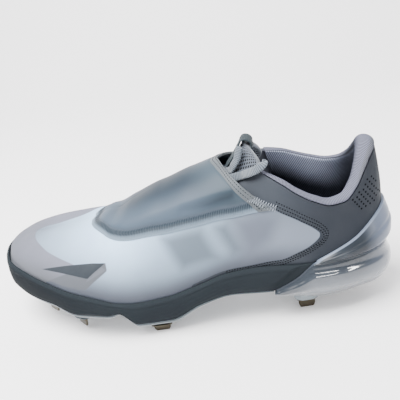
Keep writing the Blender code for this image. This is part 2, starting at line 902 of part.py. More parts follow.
def smooth_route(points, steps):
    """Points along a smooth curve through the route's points."""
    made = []
    for i in range(len(points) - 1):
        before = points[max(i - 1, 0)]
        a, b = points[i], points[i + 1]
        after = points[min(i + 2, len(points) - 1)]
        for k in range(steps):
            t = k / steps
            made.append(
                0.5
                * (
                    2 * a
                    + (b - before) * t
                    + (2 * before - 5 * a + 4 * b - after) * t * t
                    + (3 * a - before - 3 * b + after) * t * t * t
                )
            )
    made.append(points[-1])
    return made


def build_lace(name, route, paint):
    """A round lace along a route given in shares of the shoe's sizes."""
    points = [
        Vector((TOE_X + LAST_LENGTH * a, MIDDLE_Y + BALL_WIDTH * b, throat_height() * c)) for a, b, c in route
    ]
    points = smooth_route(points, 4)
    curve = bpy.data.curves.new(name, "CURVE")
    curve.dimensions = "3D"
    curve.bevel_depth = LACE_RADIUS
    curve.bevel_resolution = 2
    curve.use_fill_caps = True
    spline = curve.splines.new("POLY")
    spline.points.add(len(points) - 1)
    for spot, point in zip(spline.points, points):
        spot.co = (*point, 1)
    lace = bpy.data.objects.new(name, curve)
    shoe.objects.link(lace)
    curve.materials.append(paint)
    return lace


def rounded_bar(length, width, corners=3):
    """Points round a rounded bar, as x and y."""
    radius = width / 2
    made = []
    for end in (1, -1):
        for i in range(corners + 1):
            angle = math.pi * (i / corners - 0.5) + (0 if end > 0 else math.pi)
            made.append((end * (length / 2 - radius) + radius * math.cos(angle), radius * math.sin(angle)))
    return made


def sole_bottom(x):
    """The height of the sole's underside over a place along the shoe."""
    along = (x - TOE_X) / LAST_LENGTH
    if along < PLATE_END_SHARE:
        return under_height(along) - GAP - plate_depth(along)
    return bag_bottom(along)


def build_spike(row, metal, boss_paint):
    """A metal blade on a flange, and the moulded boss that carries it where the sole is higher."""
    side = 1 if row.across > 0 else -1
    x = TOE_X + LAST_LENGTH * row.along
    half = half_width(turn_of(row.along))
    y = MIDDLE_Y + centre_line(row.along) + half * row.across
    turn = math.radians(row.turn)
    tip = SOLE_LIFT * row.tip

    def roof(px):
        return sole_bottom(px) - GAP

    reach = FLANGE_WIDTH / 2 + BOSS_MARGIN
    lowest = min(roof(x + step * reach) for step in (-1, -0.5, 0, 0.5, 1))
    seat = tip + BLADE_LENGTH + FLANGE_WALL
    raised = lowest - seat > FLANGE_WALL
    if not raised:
        seat = lowest

    def bar(length, width, height, shift=0.0):
        made = []
        for u, v in rounded_bar(length, width):
            v += shift * side
            px = x + u * math.cos(turn) - v * math.sin(turn)
            py = y + u * math.sin(turn) + v * math.cos(turn)
            made.append(Vector((px, py, height(px) if callable(height) else height)))
        return made

    levels = [
        bar(FLANGE_WIDTH, FLANGE_WIDTH * 0.45, seat),
        bar(FLANGE_WIDTH, FLANGE_WIDTH * 0.45, seat - FLANGE_WALL),
        bar(BLADE_WIDTH, BLADE_WALL, seat - FLANGE_WALL),
        bar(BLADE_WIDTH * 0.96, BLADE_WALL, tip + (seat - tip) * 0.3),
        bar(BLADE_WIDTH * 0.80, BLADE_WALL * 0.85, tip),
    ]
    strip_loft("spike_" + row.name, levels, metal)

    if raised:
        wide = FLANGE_WIDTH + 2 * BOSS_MARGIN
        deep = FLANGE_WIDTH * 0.45 + 2 * BOSS_MARGIN
        ends = (roof(x - reach), roof(x + reach))
        slope = (ends[1] - ends[0]) / (2 * reach)
        probes = [reach * step / 5 for step in range(-6, 7)]
        excess = max(roof(x) + slope * step - roof(x + step) for step in probes)

        def flat_roof(px):
            return roof(x) + slope * (px - x) - max(0.0, excess)

        levels = [
            bar(wide * 1.10, deep * 1.16, flat_roof),
            bar(wide, deep, lambda px: seat + GAP + (flat_roof(px) - seat) * 0.35),
            bar(wide * 0.88, deep * 0.86, seat + GAP),
        ]
        strip_loft("boss_" + row.name, levels, boss_paint)


for leftover in list(bpy.data.objects):
    bpy.data.objects.remove(leftover)
shoe = bpy.data.collections.new("baseball_cleat")
bpy.context.scene.collection.children.link(shoe)

film = material("pale_film", (0.62, 0.66, 0.71), 0.4)
slate = material("slate_foam", (0.085, 0.10, 0.115), 0.6)
clear = material("clear_plastic", (0.62, 0.67, 0.70), 0.12, alpha=0.55)
clip = material("smoke_plastic", (0.36, 0.41, 0.46), 0.2, alpha=0.7)
padding = material("blue_grey_film", (0.30, 0.36, 0.42), 0.5)
knit = material("grey_knit", (0.30, 0.30, 0.34), 0.9)
mesh_cloth = material("grey_mesh", (0.36, 0.37, 0.39), 0.9)
webbing = material("dark_webbing", (0.07, 0.09, 0.10), 0.8)
lace = material("grey_lace", (0.42, 0.45, 0.48), 0.85)
steel = material("brown_steel", (0.20, 0.17, 0.13), 0.35, metallic=0.9)

build_upper(film)
build_midsole(slate)
build_plate(clear)
build_heel_bag(clear)
build_heel_clip(clip)
build_insole(knit)
build_collar(knit)
build_shroud(padding)
build_tongue(mesh_cloth)
build_pull_tab(webbing)
build_lace("lace_loop", LACE_LOOP, lace)
build_lace("lace_run", LACE_RUN, lace)
for spike in SPIKES:
    build_spike(spike, steel, clear)
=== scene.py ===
# %% [markdown]
# # A baseball cleat in film, knit and clear plastic
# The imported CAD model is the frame: every piece here sits in its place, in metres, toe towards -X and the
# outer side towards -Y. The cloth and film pieces are made again with far more points, from the same last
# that shaped the solids, so that seams, ditches and creases can be real relief.

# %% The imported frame
import math

import bmesh
import bpy
import numpy as np
from mathutils import Matrix, Quaternion, Vector
from mathutils.bvhtree import BVHTree
from mathutils.geometry import barycentric_transform


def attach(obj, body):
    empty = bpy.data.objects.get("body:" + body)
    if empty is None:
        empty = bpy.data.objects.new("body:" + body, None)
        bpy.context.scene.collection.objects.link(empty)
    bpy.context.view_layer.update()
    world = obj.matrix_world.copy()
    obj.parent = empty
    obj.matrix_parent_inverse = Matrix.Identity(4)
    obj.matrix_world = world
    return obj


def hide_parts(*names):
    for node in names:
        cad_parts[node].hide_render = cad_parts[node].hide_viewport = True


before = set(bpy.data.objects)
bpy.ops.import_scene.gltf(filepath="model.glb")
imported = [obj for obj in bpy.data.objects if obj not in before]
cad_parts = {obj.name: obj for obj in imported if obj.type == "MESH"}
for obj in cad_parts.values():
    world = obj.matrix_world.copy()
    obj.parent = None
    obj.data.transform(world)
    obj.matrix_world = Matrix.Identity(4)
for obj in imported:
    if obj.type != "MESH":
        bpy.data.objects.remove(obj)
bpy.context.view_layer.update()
MM = 0.001

# %% [markdown]
# The camera stands where the photographer stood: a little towards the heel, above the shoe, and rolled.
# It is set by its turn round the shoe, its rise and its roll, so each of them can be changed by itself.

# %% Camera
CAMERA_TURN = math.radians(11.08)
CAMERA_RISE = math.radians(25.44)
CAMERA_ROLL = math.radians(-9.1)
CAMERA_TARGET = Vector((0.01505, 0, 0.0841))
CAMERA_DISTANCE = 0.4556
CAMERA_LENS = 55.1


def add_object(name, data):
    """A new object in the scene that holds this data."""
    made = bpy.data.objects.new(name, data)
    bpy.context.scene.collection.objects.link(made)
    return made


def place_camera():
    """The scene's camera, looking at its target from the set turn, rise, roll and distance."""
    forward = Vector((-math.sin(CAMERA_TURN), math.cos(CAMERA_TURN), -math.tan(CAMERA_RISE))).normalized()
    level = Vector((math.cos(CAMERA_TURN), math.sin(CAMERA_TURN), 0))
    up = level.cross(forward)
    right = level * math.cos(CAMERA_ROLL) + up * math.sin(CAMERA_ROLL)
    top = up * math.cos(CAMERA_ROLL) - level * math.sin(CAMERA_ROLL)
    data = bpy.data.cameras.new("camera")
    data.lens = CAMERA_LENS
    data.clip_start = 0.01
    camera = add_object("camera", data)
    place = CAMERA_TARGET - forward * CAMERA_DISTANCE
    camera.matrix_world = Matrix.Translation(place) @ Matrix((right, top, -forward)).transposed().to_4x4()
    bpy.context.scene.camera = camera
    return place


print("camera at", [round(v, 3) for v in place_camera()])

# %% [markdown]
# A last is the solid foot that a shoe is built on. Here it is a short table of sections, read by a smooth
# curve. Numpy works on whole arrays at once, so a shell of forty thousand points takes a moment.

# %% The last
LAST_LENGTH = 0.2935
BALL_WIDTH = 0.1035
INSTEP_HEIGHT = 0.066
HEEL_HEIGHT = 0.069
SOLE_HEIGHT = 0.035
SOLE_LIFT = 0.011
UPPER_WALL = 0.002
GAP = 0.0003
TOE_RIDGE = 0.095
HEEL_RIDGE = 0.13
SECTION_COLUMNS = ("along", "centre", "half", "ridge", "bite", "under", "crown", "square")
SECTIONS = (
    (0.000, 0.085, 0.000, 0.100, 1.12, 0.60, 0.10, 2.5),
    (0.016, 0.078, 0.170, 0.098, 1.12, 0.57, 0.11, 2.5),
    (0.039, 0.070, 0.275, 0.095, 1.11, 0.54, 0.13, 2.5),
    (0.089, 0.056, 0.373, 0.090, 1.08, 0.49, 0.20, 2.45),
    (0.155, 0.033, 0.448, 0.080, 1.00, 0.45, 0.31, 2.4),
    (0.232, 0.005, 0.495, 0.068, 0.84, 0.27, 0.46, 2.3),
    (0.312, -0.021, 0.500, 0.050, 0.68, 0.27, 0.63, 2.2),
    (0.342, -0.028, 0.490, 0.044, 0.60, 0.32, 0.69, 2.2),
    (0.386, -0.036, 0.476, 0.035, 0.57, 0.01, 0.81, 2.15),
    (0.466, -0.042, 0.435, 0.024, 0.62, 0.01, 0.94, 2.1),
    (0.546, -0.036, 0.400, 0.016, 0.79, 0.29, 0.98, 2.1),
    (0.625, -0.024, 0.374, 0.008, 0.98, 0.43, 0.97, 2.15),
    (0.705, -0.013, 0.358, 0.002, 1.03, 0.40, 1.17, 2.3),
    (0.745, -0.009, 0.355, 0.001, 1.02, 0.41, 1.38, 2.4),
    (0.785, -0.006, 0.349, 0.000, 1.00, 0.54, 1.58, 2.45),
    (0.866, -0.001, 0.318, 0.000, 0.98, 0.66, 1.82, 2.5),
    (0.937, 0.000, 0.243, 0.000, 0.97, 0.68, 1.90, 2.5),
    (0.985, 0.000, 0.133, 0.000, 0.97, 0.63, 1.92, 2.5),
    (1.000, 0.000, 0.000, 0.000, 0.97, 0.62, 1.92, 2.5),
)
LAST = dict(zip(SECTION_COLUMNS, np.array(SECTIONS).T))


def hermite(knots, values, at):
    """A smooth curve through the knots that does not overshoot them."""
    knots, values = np.asarray(knots, float), np.asarray(values, float)
    steps = np.diff(knots)
    grades = np.diff(values) / steps
    before, after = grades[:-1], grades[1:]
    total = np.where(before * after > 0, before + after, 1.0)
    inner = np.where(before * after > 0, 2 * before * after / total, 0.0)
    slopes = np.concatenate([grades[:1], inner, grades[-1:]])
    at = np.clip(at, knots[0], knots[-1])
    spot = np.clip(np.searchsorted(knots, at, side="right") - 1, 0, len(steps) - 1)
    span = steps[spot]
    s = (at - knots[spot]) / span
    rise = values[spot + 1] - values[spot]
    first, second = slopes[spot] * span, slopes[spot + 1] * span
    bend = s * s * (3 * rise - 2 * first - second) + s**3 * (first + second - 2 * rise)
    return values[spot] + s * first + bend


def section(name, along):
    """One column of the last's table at a place along the shoe, 0 at the toe and 1 at the heel."""
    return hermite(LAST["along"], LAST[name], along)


def turn_of(along):
    """The turn round the shoe on the lateral side: 0 at the toe, pi at the heel."""
    return np.arccos(np.clip(1 - 2 * np.asarray(along, float), -1, 1))


def along_at(turn):
    return (1 - np.cos(turn)) / 2


def smooth(start, full, value):
    """0 up to start and 1 from full on, with an eased step between."""
    s = np.clip((np.asarray(value, float) - start) / (full - start), 0, 1)
    return s * s * (3 - 2 * s)


def bell(value, wide):
    """1 where the value is 0, and soft slopes to 0 over about twice that width."""
    return np.exp(-((value / wide) ** 2))


def half_width(turn):
    fold = np.arccos(np.cos(turn))
    return BALL_WIDTH * hermite(turn_of(LAST["along"]), LAST["half"], fold)


def side_of(turn):
    """-1 on the lateral side, 1 on the medial side."""
    return np.where(np.mod(turn, 2 * math.pi) <= math.pi, -1.0, 1.0)


HALF_TURNS = np.linspace(0, math.pi, 401)
REACHES = [
    np.max(half_width(HALF_TURNS) + side * BALL_WIDTH * section("centre", along_at(HALF_TURNS)))
    for side in (-1, 1)
]
RIM_WALL = 0.0022
SIDEWALL_BELLY = 0.0012
HEEL_PROUD = 0.0055
SHOE_LENGTH = RIM_WALL + SIDEWALL_BELLY + LAST_LENGTH + HEEL_PROUD
TOE_X = -SHOE_LENGTH / 2 + RIM_WALL + SIDEWALL_BELLY
MIDDLE_Y = (REACHES[0] - REACHES[1]) / 2


def bite_height(along):
    return SOLE_LIFT + SOLE_HEIGHT * section("bite", along)


def under_height(along):
    return SOLE_LIFT + SOLE_HEIGHT * section("under", along)


def crown_height(along):
    return bite_height(along) + INSTEP_HEIGHT * section("crown", along)


def plan(turn):
    along = along_at(turn)
    across = BALL_WIDTH * section("centre", along) + side_of(turn) * half_width(turn)
    return np.stack([TOE_X + LAST_LENGTH * along, MIDDLE_Y + across], -1)


def outline(turn, out=0.0):
    """The bite line's plan outline, moved out along its normal."""
    turn = np.asarray(turn, float)
    tangent = plan(turn + 0.01) - plan(turn - 0.01)
    normal = np.stack([tangent[..., 1], -tangent[..., 0]], -1)
    normal /= np.linalg.norm(normal, axis=-1, keepdims=True)
    return plan(turn) + normal * np.asarray(out)[..., None]


def crown_along(along):
    """Where along the shoe the rib that starts at this place ends on the crown."""
    return along + TOE_RIDGE * (1 - along) ** 4 - HEEL_RIDGE * along**4


def rib(turn, climb):
    """A point of the last's skin: climb is 0 at the bite line and a quarter turn at the crown."""
    along = along_at(turn)
    foot = outline(turn)
    top_along = crown_along(along)
    top = np.stack([TOE_X + LAST_LENGTH * top_along, MIDDLE_Y + BALL_WIDTH * section("ridge", top_along)], -1)
    power = 2 / section("square", along)
    inward = 1 - np.clip(np.cos(climb), 0, 1) ** power
    upward = np.clip(np.sin(climb), 0, 1) ** power
    flat = foot + (top - foot) * inward[..., None]
    low = bite_height(along)
    height = low + (crown_height(top_along) - low) * upward
    return np.concatenate([flat, height[..., None]], -1)


def unit(vectors):
    return vectors / np.maximum(np.linalg.norm(vectors, axis=-1, keepdims=True), 1e-12)


def skin_normal(turn, climb):
    step = 0.02
    high = np.minimum(math.pi / 2 - 1e-4, climb + step)
    low = np.maximum(1e-3, high - 2 * step)
    rise = rib(turn, high) - rib(turn, low)
    run = rib(turn + step, climb) - rib(turn - step, climb)
    normal = unit(np.cross(run, rise))
    flat = outline(turn, np.ones_like(turn)) - outline(turn)
    facing = np.sum(normal[..., :2] * flat, -1) + 0.4 * normal[..., 2]
    return normal * np.where(facing < 0, -1.0, 1.0)[..., None]


def skin(turn, climb, lift=0.0):
    turn, climb, lift = np.broadcast_arrays(turn, climb, lift)
    return rib(turn, climb) + skin_normal(turn, climb) * lift[..., None]


def height_climb(turn, height):
    """The climb at a height over the bite line."""
    along = along_at(turn)
    tall = crown_height(crown_along(along)) - bite_height(along)
    power = 2 / section("square", along)
    return np.arcsin(np.clip(height / tall, 0, 1) ** (1 / power))


def turn_beside(along, side):
    """The turn of a place along the shoe, on the medial side where side is above 0."""
    turn = turn_of(along)
    return np.where(side > 0, 2 * math.pi - turn, turn)


def turns_behind(start, count):
    """Turns round the heel, from a place along the outer side to the same place on the inner side."""
    first = float(turn_of(start))
    return np.linspace(first, 2 * math.pi - first, count)


print("last from x", round(TOE_X / MM, 1), "mm, middle y", round(MIDDLE_Y / MM, 2), "mm")

# %% [markdown]
# Shells are grids of points with a wall. The helper joins an outer and an inner grid along their open
# edges, welds what meets, and turns every face outwards, so that each piece is one closed mesh.

# %% Shell helpers
ROOT = "root"
SHARP_EDGE = math.radians(50)


def spread(values, count):
    """Values of the rows, the same in each of count columns."""
    return np.repeat(np.asarray(values)[:, None], count, 1)


def run_along(points):
    """How far along a line each of its points is."""
    return np.concatenate([[0], np.cumsum(np.linalg.norm(np.diff(points, axis=0), axis=1))])


def quads(rows, columns, wrap_rows=False):
    """Faces of a grid of rows by columns; wrapped, the last row meets the first."""
    r = np.arange(rows if wrap_rows else rows - 1)[:, None]
    c = np.arange(columns - 1)[None, :]
    a, b = r * columns + c, ((r + 1) % rows) * columns + c
    return np.stack([a, b, b + 1, a + 1], -1).reshape(-1, 4)


def edge_strip(first, second, wrap=False):
    """Faces between two lines of point numbers."""
    if wrap:
        first, second = np.append(first, first[0]), np.append(second, second[0])
    return np.stack([first[:-1], first[1:], second[1:], second[:-1]], -1)


def make_piece(name, points, faces, weld=1e-6, fields=None, flip_out=True):
    """A smooth mesh object. fields are named values on its points, for its material to read."""
    mesh = bpy.data.meshes.new(name)
    mesh.from_pydata(np.asarray(points).reshape(-1, 3).tolist(), [], [list(map(int, f)) for f in faces])
    for field, values in (fields or {}).items():
        made = mesh.attributes.new(field, "FLOAT", "POINT")
        made.data.foreach_set("value", np.asarray(values, np.float32).ravel())
    work = bmesh.new()
    work.from_mesh(mesh)
    bmesh.ops.remove_doubles(work, verts=work.verts, dist=weld)
    bmesh.ops.dissolve_degenerate(work, dist=weld, edges=work.edges)
    if flip_out:
        bmesh.ops.recalc_face_normals(work, faces=work.faces)
    work.to_mesh(mesh)
    work.free()
    mesh.shade_smooth()
    mesh.set_sharp_from_angle(angle=SHARP_EDGE)
    return add_object(name, mesh)


def slab(name, outer, inner, fields=None):
    """A closed sheet between two open grids of the same size."""
    rows, columns = outer.shape[:2]
    count = rows * columns
    number = np.arange(count).reshape(rows, columns)
    faces = [quads(rows, columns), quads(rows, columns)[:, ::-1] + count]
    for line in (number[0], number[-1], number[:, 0], number[:, -1]):
        faces.append(edge_strip(line, line + count))
    twice = {key: np.concatenate([value.ravel(), value.ravel()]) for key, value in (fields or {}).items()}
    return make_piece(name, np.concatenate([outer, inner]), np.concatenate(faces), fields=twice)


def ring_faces(rings):
    """The point numbers of closed rings, and the faces between one ring and the next."""
    number = np.arange(rings.shape[0] * rings.shape[1]).reshape(rings.shape[:2])
    strips = [edge_strip(a, b, wrap=True).tolist() for a, b in zip(number[:-1], number[1:])]
    return number, [face for strip in strips for face in strip]


def stacked(name, rings, closed=True, fields=None):
    """A solid through rings of equal count, one over the other. Open rings close straight across."""
    rings = np.asarray(rings)
    number, faces = ring_faces(rings)
    for line in (number[0], number[-1]):
        partner = np.roll(line[::-1], 1) if closed else line[::-1]
        for i in range(len(line) // 2):
            face = [line[i], line[i + 1], partner[i + 1], partner[i]]
            face = [int(v) for n, v in enumerate(face) if v not in face[:n]]
            if len(face) > 2:
                faces.append(face)
    return make_piece(name, rings.reshape(-1, 3), faces, fields=fields)


def ribbon(name, profiles, fields=None):
    """A solid through closed profiles one after another, with both ends closed."""
    profiles = np.asarray(profiles)
    number, faces = ring_faces(profiles)
    faces += [number[0].tolist(), number[-1].tolist()]
    return make_piece(name, profiles.reshape(-1, 3), faces, fields=fields)


def resample(points, count):
    """A smooth line of count points through a few, by a Catmull-Rom curve."""
    points = np.asarray(points, float)
    points = np.concatenate([2 * points[:1] - points[1:2], points, 2 * points[-1:] - points[-2:-1]])
    spans = len(points) - 3
    place = np.linspace(0, spans, count)
    i = np.minimum(place.astype(int), spans - 1)
    t = (place - i).reshape(-1, *([1] * (points.ndim - 1)))
    a, b, c, d = points[i], points[i + 1], points[i + 2], points[i + 3]
    return 0.5 * (2 * b + (c - a) * t + (2 * a - 5 * b + 4 * c - d) * t**2 + (3 * b - a - 3 * c + d) * t**3)


def finish_piece(piece, paint, slot_name, *nodes):
    """The piece gets its material, rides on the shoe's one body and stands for its CAD nodes."""
    piece.data.materials.clear()
    piece.data.materials.append(paint)
    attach(piece, ROOT)
    if nodes:
        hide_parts(*nodes)
    return piece


# %% [markdown]
# The laces come first, because they are the free cords. A sports lace is a flat woven tape with ribs
# across it: a tube of flattened section is swept along the route that the CAD cord follows, and its turn
# round the route is kept steady so that it doesn't twist.

# %% Laces
THROAT_ALONG = 0.635
LACE_WIDTH = 0.0060
LACE_THICK = 0.0024
LACE_SQUARE = 0.7
LACE_END = 0.4
LACE_LOOP = (
    (0.617, -0.180, 0.957),
    (0.645, -0.185, 0.979),
    (0.675, -0.194, 0.997),
    (0.684, -0.212, 1.011),
    (0.696, -0.232, 1.027),
    (0.710, -0.243, 1.046),
    (0.723, -0.238, 1.065),
    (0.730, -0.214, 1.073),
    (0.729, -0.190, 1.058),
)
LACE_RUN = (
    (0.562, -0.062, 0.937),
    (0.598, -0.076, 0.965),
    (0.630, -0.096, 0.989),
    (0.648, -0.118, 1.010),
    (0.656, -0.126, 1.044),
    (0.665, -0.120, 1.080),
    (0.670, -0.108, 1.120),
    (0.675, -0.098, 1.160),
)


def squared(wave, power):
    """A cosine or sine pressed towards a square wave."""
    return np.sign(wave) * np.abs(wave) ** power


def lace_route(shares, steps=8):
    """The CAD cord's own line, in metres: along the shoe, across and up from named sizes."""
    shares = np.array(shares)
    sizes = np.array([LAST_LENGTH, BALL_WIDTH, float(crown_height(THROAT_ALONG))])
    points = np.array([TOE_X, MIDDLE_Y, 0.0]) + shares * sizes
    return resample(points, (len(points) - 1) * steps + 1)


def sweep(name, route, width, thick, facing, around=20):
    """A flat tape along a route, its face turned towards facing."""
    ahead = unit(np.gradient(route, axis=0))
    side = unit(np.cross(ahead, np.asarray(facing, float)))
    face = unit(np.cross(side, ahead))
    angles = np.linspace(0, 2 * math.pi, around, endpoint=False)
    u = squared(np.cos(angles), LACE_SQUARE) * width / 2
    v = squared(np.sin(angles), LACE_SQUARE) * thick / 2
    run = run_along(route)
    ends = np.clip(np.minimum(run, run[-1] - run) / (thick * LACE_END), 0, 1) ** 0.5
    rings = route[:, None] + ends[:, None, None] * (side[:, None] * u[:, None] + face[:, None] * v[:, None])
    return ribbon(name, rings, {"run": spread(run / MM, around)}), run[-1]


LACES = []
for name, shares, facing in (
    ("lace_loop_tape", LACE_LOOP, (-0.35, -0.75, 0.55)),
    ("lace_run_tape", LACE_RUN, (-0.5, -0.6, 0.6)),
):
    route = lace_route(shares)
    piece, length = sweep(name, route, LACE_WIDTH, LACE_THICK, facing)
    LACES.append((piece, route, length))
    print(name, "is", round(length / MM, 1), "mm long")

# %% [markdown]
# A short class keeps materials readable: each method adds one node. Colours are given as they look on a
# screen, from 0 to 255, and turned into the linear values that shaders use.

# %% Material helpers
SCREEN = (0, 9, 18, 33, 53, 71, 94, 120, 146, 170, 189, 206, 219, 231, 240)
SHOWN = (0, 0.005, 0.01, 0.021, 0.043, 0.071, 0.115, 0.188, 0.307, 0.5, 0.815, 1.33, 2.17, 3.53, 5.76)
LIGHT_LEVEL = 3.0
MOST_BRIGHT = 0.9


def tone(red, green, blue):
    """The surface colour that looks like this on a screen in the studio's light."""
    shown = np.interp((red, green, blue), SCREEN, SHOWN) / LIGHT_LEVEL
    return tuple(float(v) for v in np.minimum(shown, MOST_BRIGHT)) + (1.0,)


class Paint:
    """One material, with a short way to add each kind of node."""

    def __init__(self, name, colour, roughness, **sockets):
        self.material = bpy.data.materials.new(name)
        self.material.use_nodes = True
        self.tree = self.material.node_tree
        self.shader = self.tree.nodes["Principled BSDF"]
        sockets = {"base_color": colour, "roughness": roughness, "specular_ior_level": 0.25, **sockets}
        for socket, value in sockets.items():
            self.put(self.shader, socket.replace("_", " ").title().replace("Ior", "IOR"), value)

    def put(self, node, socket, value):
        """Gives a socket a link, a number, or a screen colour of three numbers."""
        if isinstance(value, bpy.types.NodeSocket):
            self.tree.links.new(value, node.inputs[socket])
        elif isinstance(value, tuple) and len(value) == 3:
            node.inputs[socket].default_value = tone(*value)
        else:
            node.inputs[socket].default_value = value

    def node(self, kind, output, inputs, **settings):
        made = self.tree.nodes.new("ShaderNode" + kind)
        for key, value in settings.items():
            setattr(made, key, value)
        for socket, value in inputs.items():
            self.put(made, socket, value)
        return made.outputs[output]

    def field(self, name):
        return self.node("Attribute", "Fac", {}, attribute_name=name)

    def math(self, operation, first, second=0.0):
        return self.node("Math", 0, {0: first, 1: second}, operation=operation)

    def both(self, first, second):
        return self.math("MULTIPLY", first, second)

    def ease(self, value, low, high):
        """0 at low and 1 at high, smooth between. A name stands for the field of that name."""
        value = self.field(value) if isinstance(value, str) else value
        ends = {"Value": value, "From Min": low, "From Max": high}
        return self.node("MapRange", "Result", ends, interpolation_type="SMOOTHSTEP")

    def wave(self, value, pitch):
        """A ripple from 0 to 1 of that pitch in the value's own unit."""
        return self.ease(self.math("SINE", self.both(value, 2 * math.pi / pitch)), -1, 1)

    def mix(self, share, first, second):
        return self.node("Mix", 2, {0: share, 6: first, 7: second}, data_type="RGBA")

    def over(self, under, *layers):
        """Colours laid over one another. A layer is a field, where it starts and is full, and its colour."""
        for value, low, high, colour in layers:
            under = self.mix(self.ease(value, low, high), under, colour)
        return under

    def noise(self, scale, detail=3.0):
        place = self.node("TexCoord", "Object", {})
        return self.node("TexNoise", "Fac", {"Vector": place, "Scale": scale, "Detail": detail})

    def clouds(self, scale, first, second, detail=3.0):
        return self.mix(self.noise(scale, detail), first, second)

    def bump(self, height, distance, strength, under=None):
        inputs = {"Height": height, "Distance": distance, "Strength": strength}
        if under is not None:
            inputs["Normal"] = under
        return self.node("Bump", "Normal", inputs)

    def grain(self, scale, distance, strength, detail=3.0, under=None):
        return self.bump(self.noise(scale, detail), distance, strength, under)

    def done(self, colour, normal):
        """The material, with its last colour and relief."""
        self.put(self.shader, "Base Color", colour)
        self.put(self.shader, "Normal", normal)
        return self.material


def lace_paint():
    grey = (143, 153, 163)
    paint = Paint("lace_weave", grey, 0.8, sheen_weight=0.3)
    ribs = paint.wave(paint.field("run"), 1.15)
    colour = paint.over((84, 94, 104), (ribs, 0.0, 0.55, grey))
    return paint.done(colour, paint.bump(ribs, 0.0005, 0.9, paint.grain(2600, 0.0002, 0.5)))


LACE_PAINT = lace_paint()
for (piece, route, length), node in zip(LACES, ("lace_loop", "lace_run")):
    finish_piece(piece, LACE_PAINT, "grey_lace", node)
print("lace tone:", [round(v, 3) for v in tone(143, 153, 163)])

# %% [markdown]
# The upper is drawn flat first, as a pattern cutter would. Each point of its skin has two flat places:
# how far along the shoe it is, and how far round from the crown, in millimetres, lateral side negative.
# Panel edges are short lines in that flat pattern, and a point's distance to an edge decides its colour
# and its step in height.

# %% Flat pattern
RIB_POINTS = 61
SLOT = np.array([(0.380, 0.0), (0.395, 0.16), (0.430, 0.27), (0.520, 0.36), (0.620, 0.43), (0.726, 0.55)])
COLLAR = np.array(
    [
        (0.640, 1.02, 1.02),
        (0.726, 0.95, 0.95),
        (0.777, 0.84, 0.87),
        (0.807, 0.745, 0.81),
        (0.841, 0.66, 0.76),
        (0.880, 0.60, 0.73),
        (0.910, 0.61, 0.75),
        (0.940, 0.72, 0.82),
        (0.968, 0.89, 0.93),
        (0.988, 0.99, 1.00),
        (1.000, 1.02, 1.02),
    ]
)


def collar_share(turn):
    """The collar edge's height over the bite line, as a share of HEEL_HEIGHT."""
    along = along_at(turn)
    lateral, medial = (hermite(COLLAR[:, 0], COLLAR[:, i], along) for i in (1, 2))
    return np.where(side_of(turn) < 0, lateral, medial)


def edge_climb(turn):
    """The climb at which the upper ends: the crown over the toe, the slot's edge, then the collar."""
    along = along_at(turn)
    gap = hermite(SLOT[:, 0], SLOT[:, 1], along)
    slot = np.arccos(np.clip(gap ** (section("square", along) / 2), 0, 1))
    collar = height_climb(turn, HEEL_HEIGHT * collar_share(turn))
    climb = np.where(along > SLOT[0, 0], slot, math.pi / 2)
    climb = np.where(along > COLLAR[0, 0], np.minimum(climb, collar), climb)
    return np.where(along > SLOT[-1, 0], collar, climb)


def flat_pattern(turns, climbs):
    """Each point's place along the shoe and round from the crown, in mm. turns has one row each."""
    full = np.linspace(0, math.pi / 2, RIB_POINTS)
    ribs = rib(turns[:, :1] + 0 * full, full + 0 * turns[:, :1])
    steps = np.linalg.norm(np.diff(ribs, axis=1), axis=2)
    arcs = np.concatenate([np.cumsum(steps[:, ::-1], 1)[:, ::-1], np.zeros((len(turns), 1))], 1)
    round_from = np.array([np.interp(climbs[i], full, arcs[i]) for i in range(len(turns))])
    along = rib(turns, climbs)[..., 0]
    return along / MM, side_of(turns) * round_from / MM


def line_distance(x, s, line):
    """Distance in the flat pattern to a line of points."""
    best = np.full(np.shape(x), 1e9)
    for (ax, ay), (bx, by) in zip(line[:-1], line[1:]):
        run, rise = bx - ax, by - ay
        share = np.clip(((x - ax) * run + (s - ay) * rise) / (run * run + rise * rise), 0, 1)
        best = np.minimum(best, np.hypot(x - ax - share * run, s - ay - share * rise))
    return best


def panel_depth(x, s, outline_points):
    """How far inside a closed panel a point is; negative outside."""
    closed = list(outline_points) + [outline_points[0]]
    inside = np.zeros(np.shape(x), bool)
    for (ax, ay), (bx, by) in zip(closed[:-1], closed[1:]):
        if ay == by:
            continue
        crosses = ((ay > s) != (by > s)) & (x < (bx - ax) * (s - ay) / (by - ay) + ax)
        inside ^= crosses
    return np.where(inside, 1, -1) * line_distance(x, s, closed)


def rounded(points, steps=4):
    """A line through the points with its corners eased."""
    return [tuple(p) for p in resample(points, (len(points) - 1) * steps + 1)]


def mirrored(points):
    return [(x, -s) for x, s in points]


def panel_field(x, s, *shapes):
    """How far inside any of some panels, on either side of the shoe, a point is."""
    return np.max([panel_depth(x, s, line) for shape in shapes for line in (shape, mirrored(shape))], 0)


print("slot from", SLOT[0, 0], "to", SLOT[-1, 0], "along the last, collar from", COLLAR[0, 0])

# %% [markdown]
# The panels: a grey toe cap that runs round the toe and back under two dark darts, the pale film, and
# the dark quarter behind it. Behind the film on the outer side lie pale stays with darker windows.

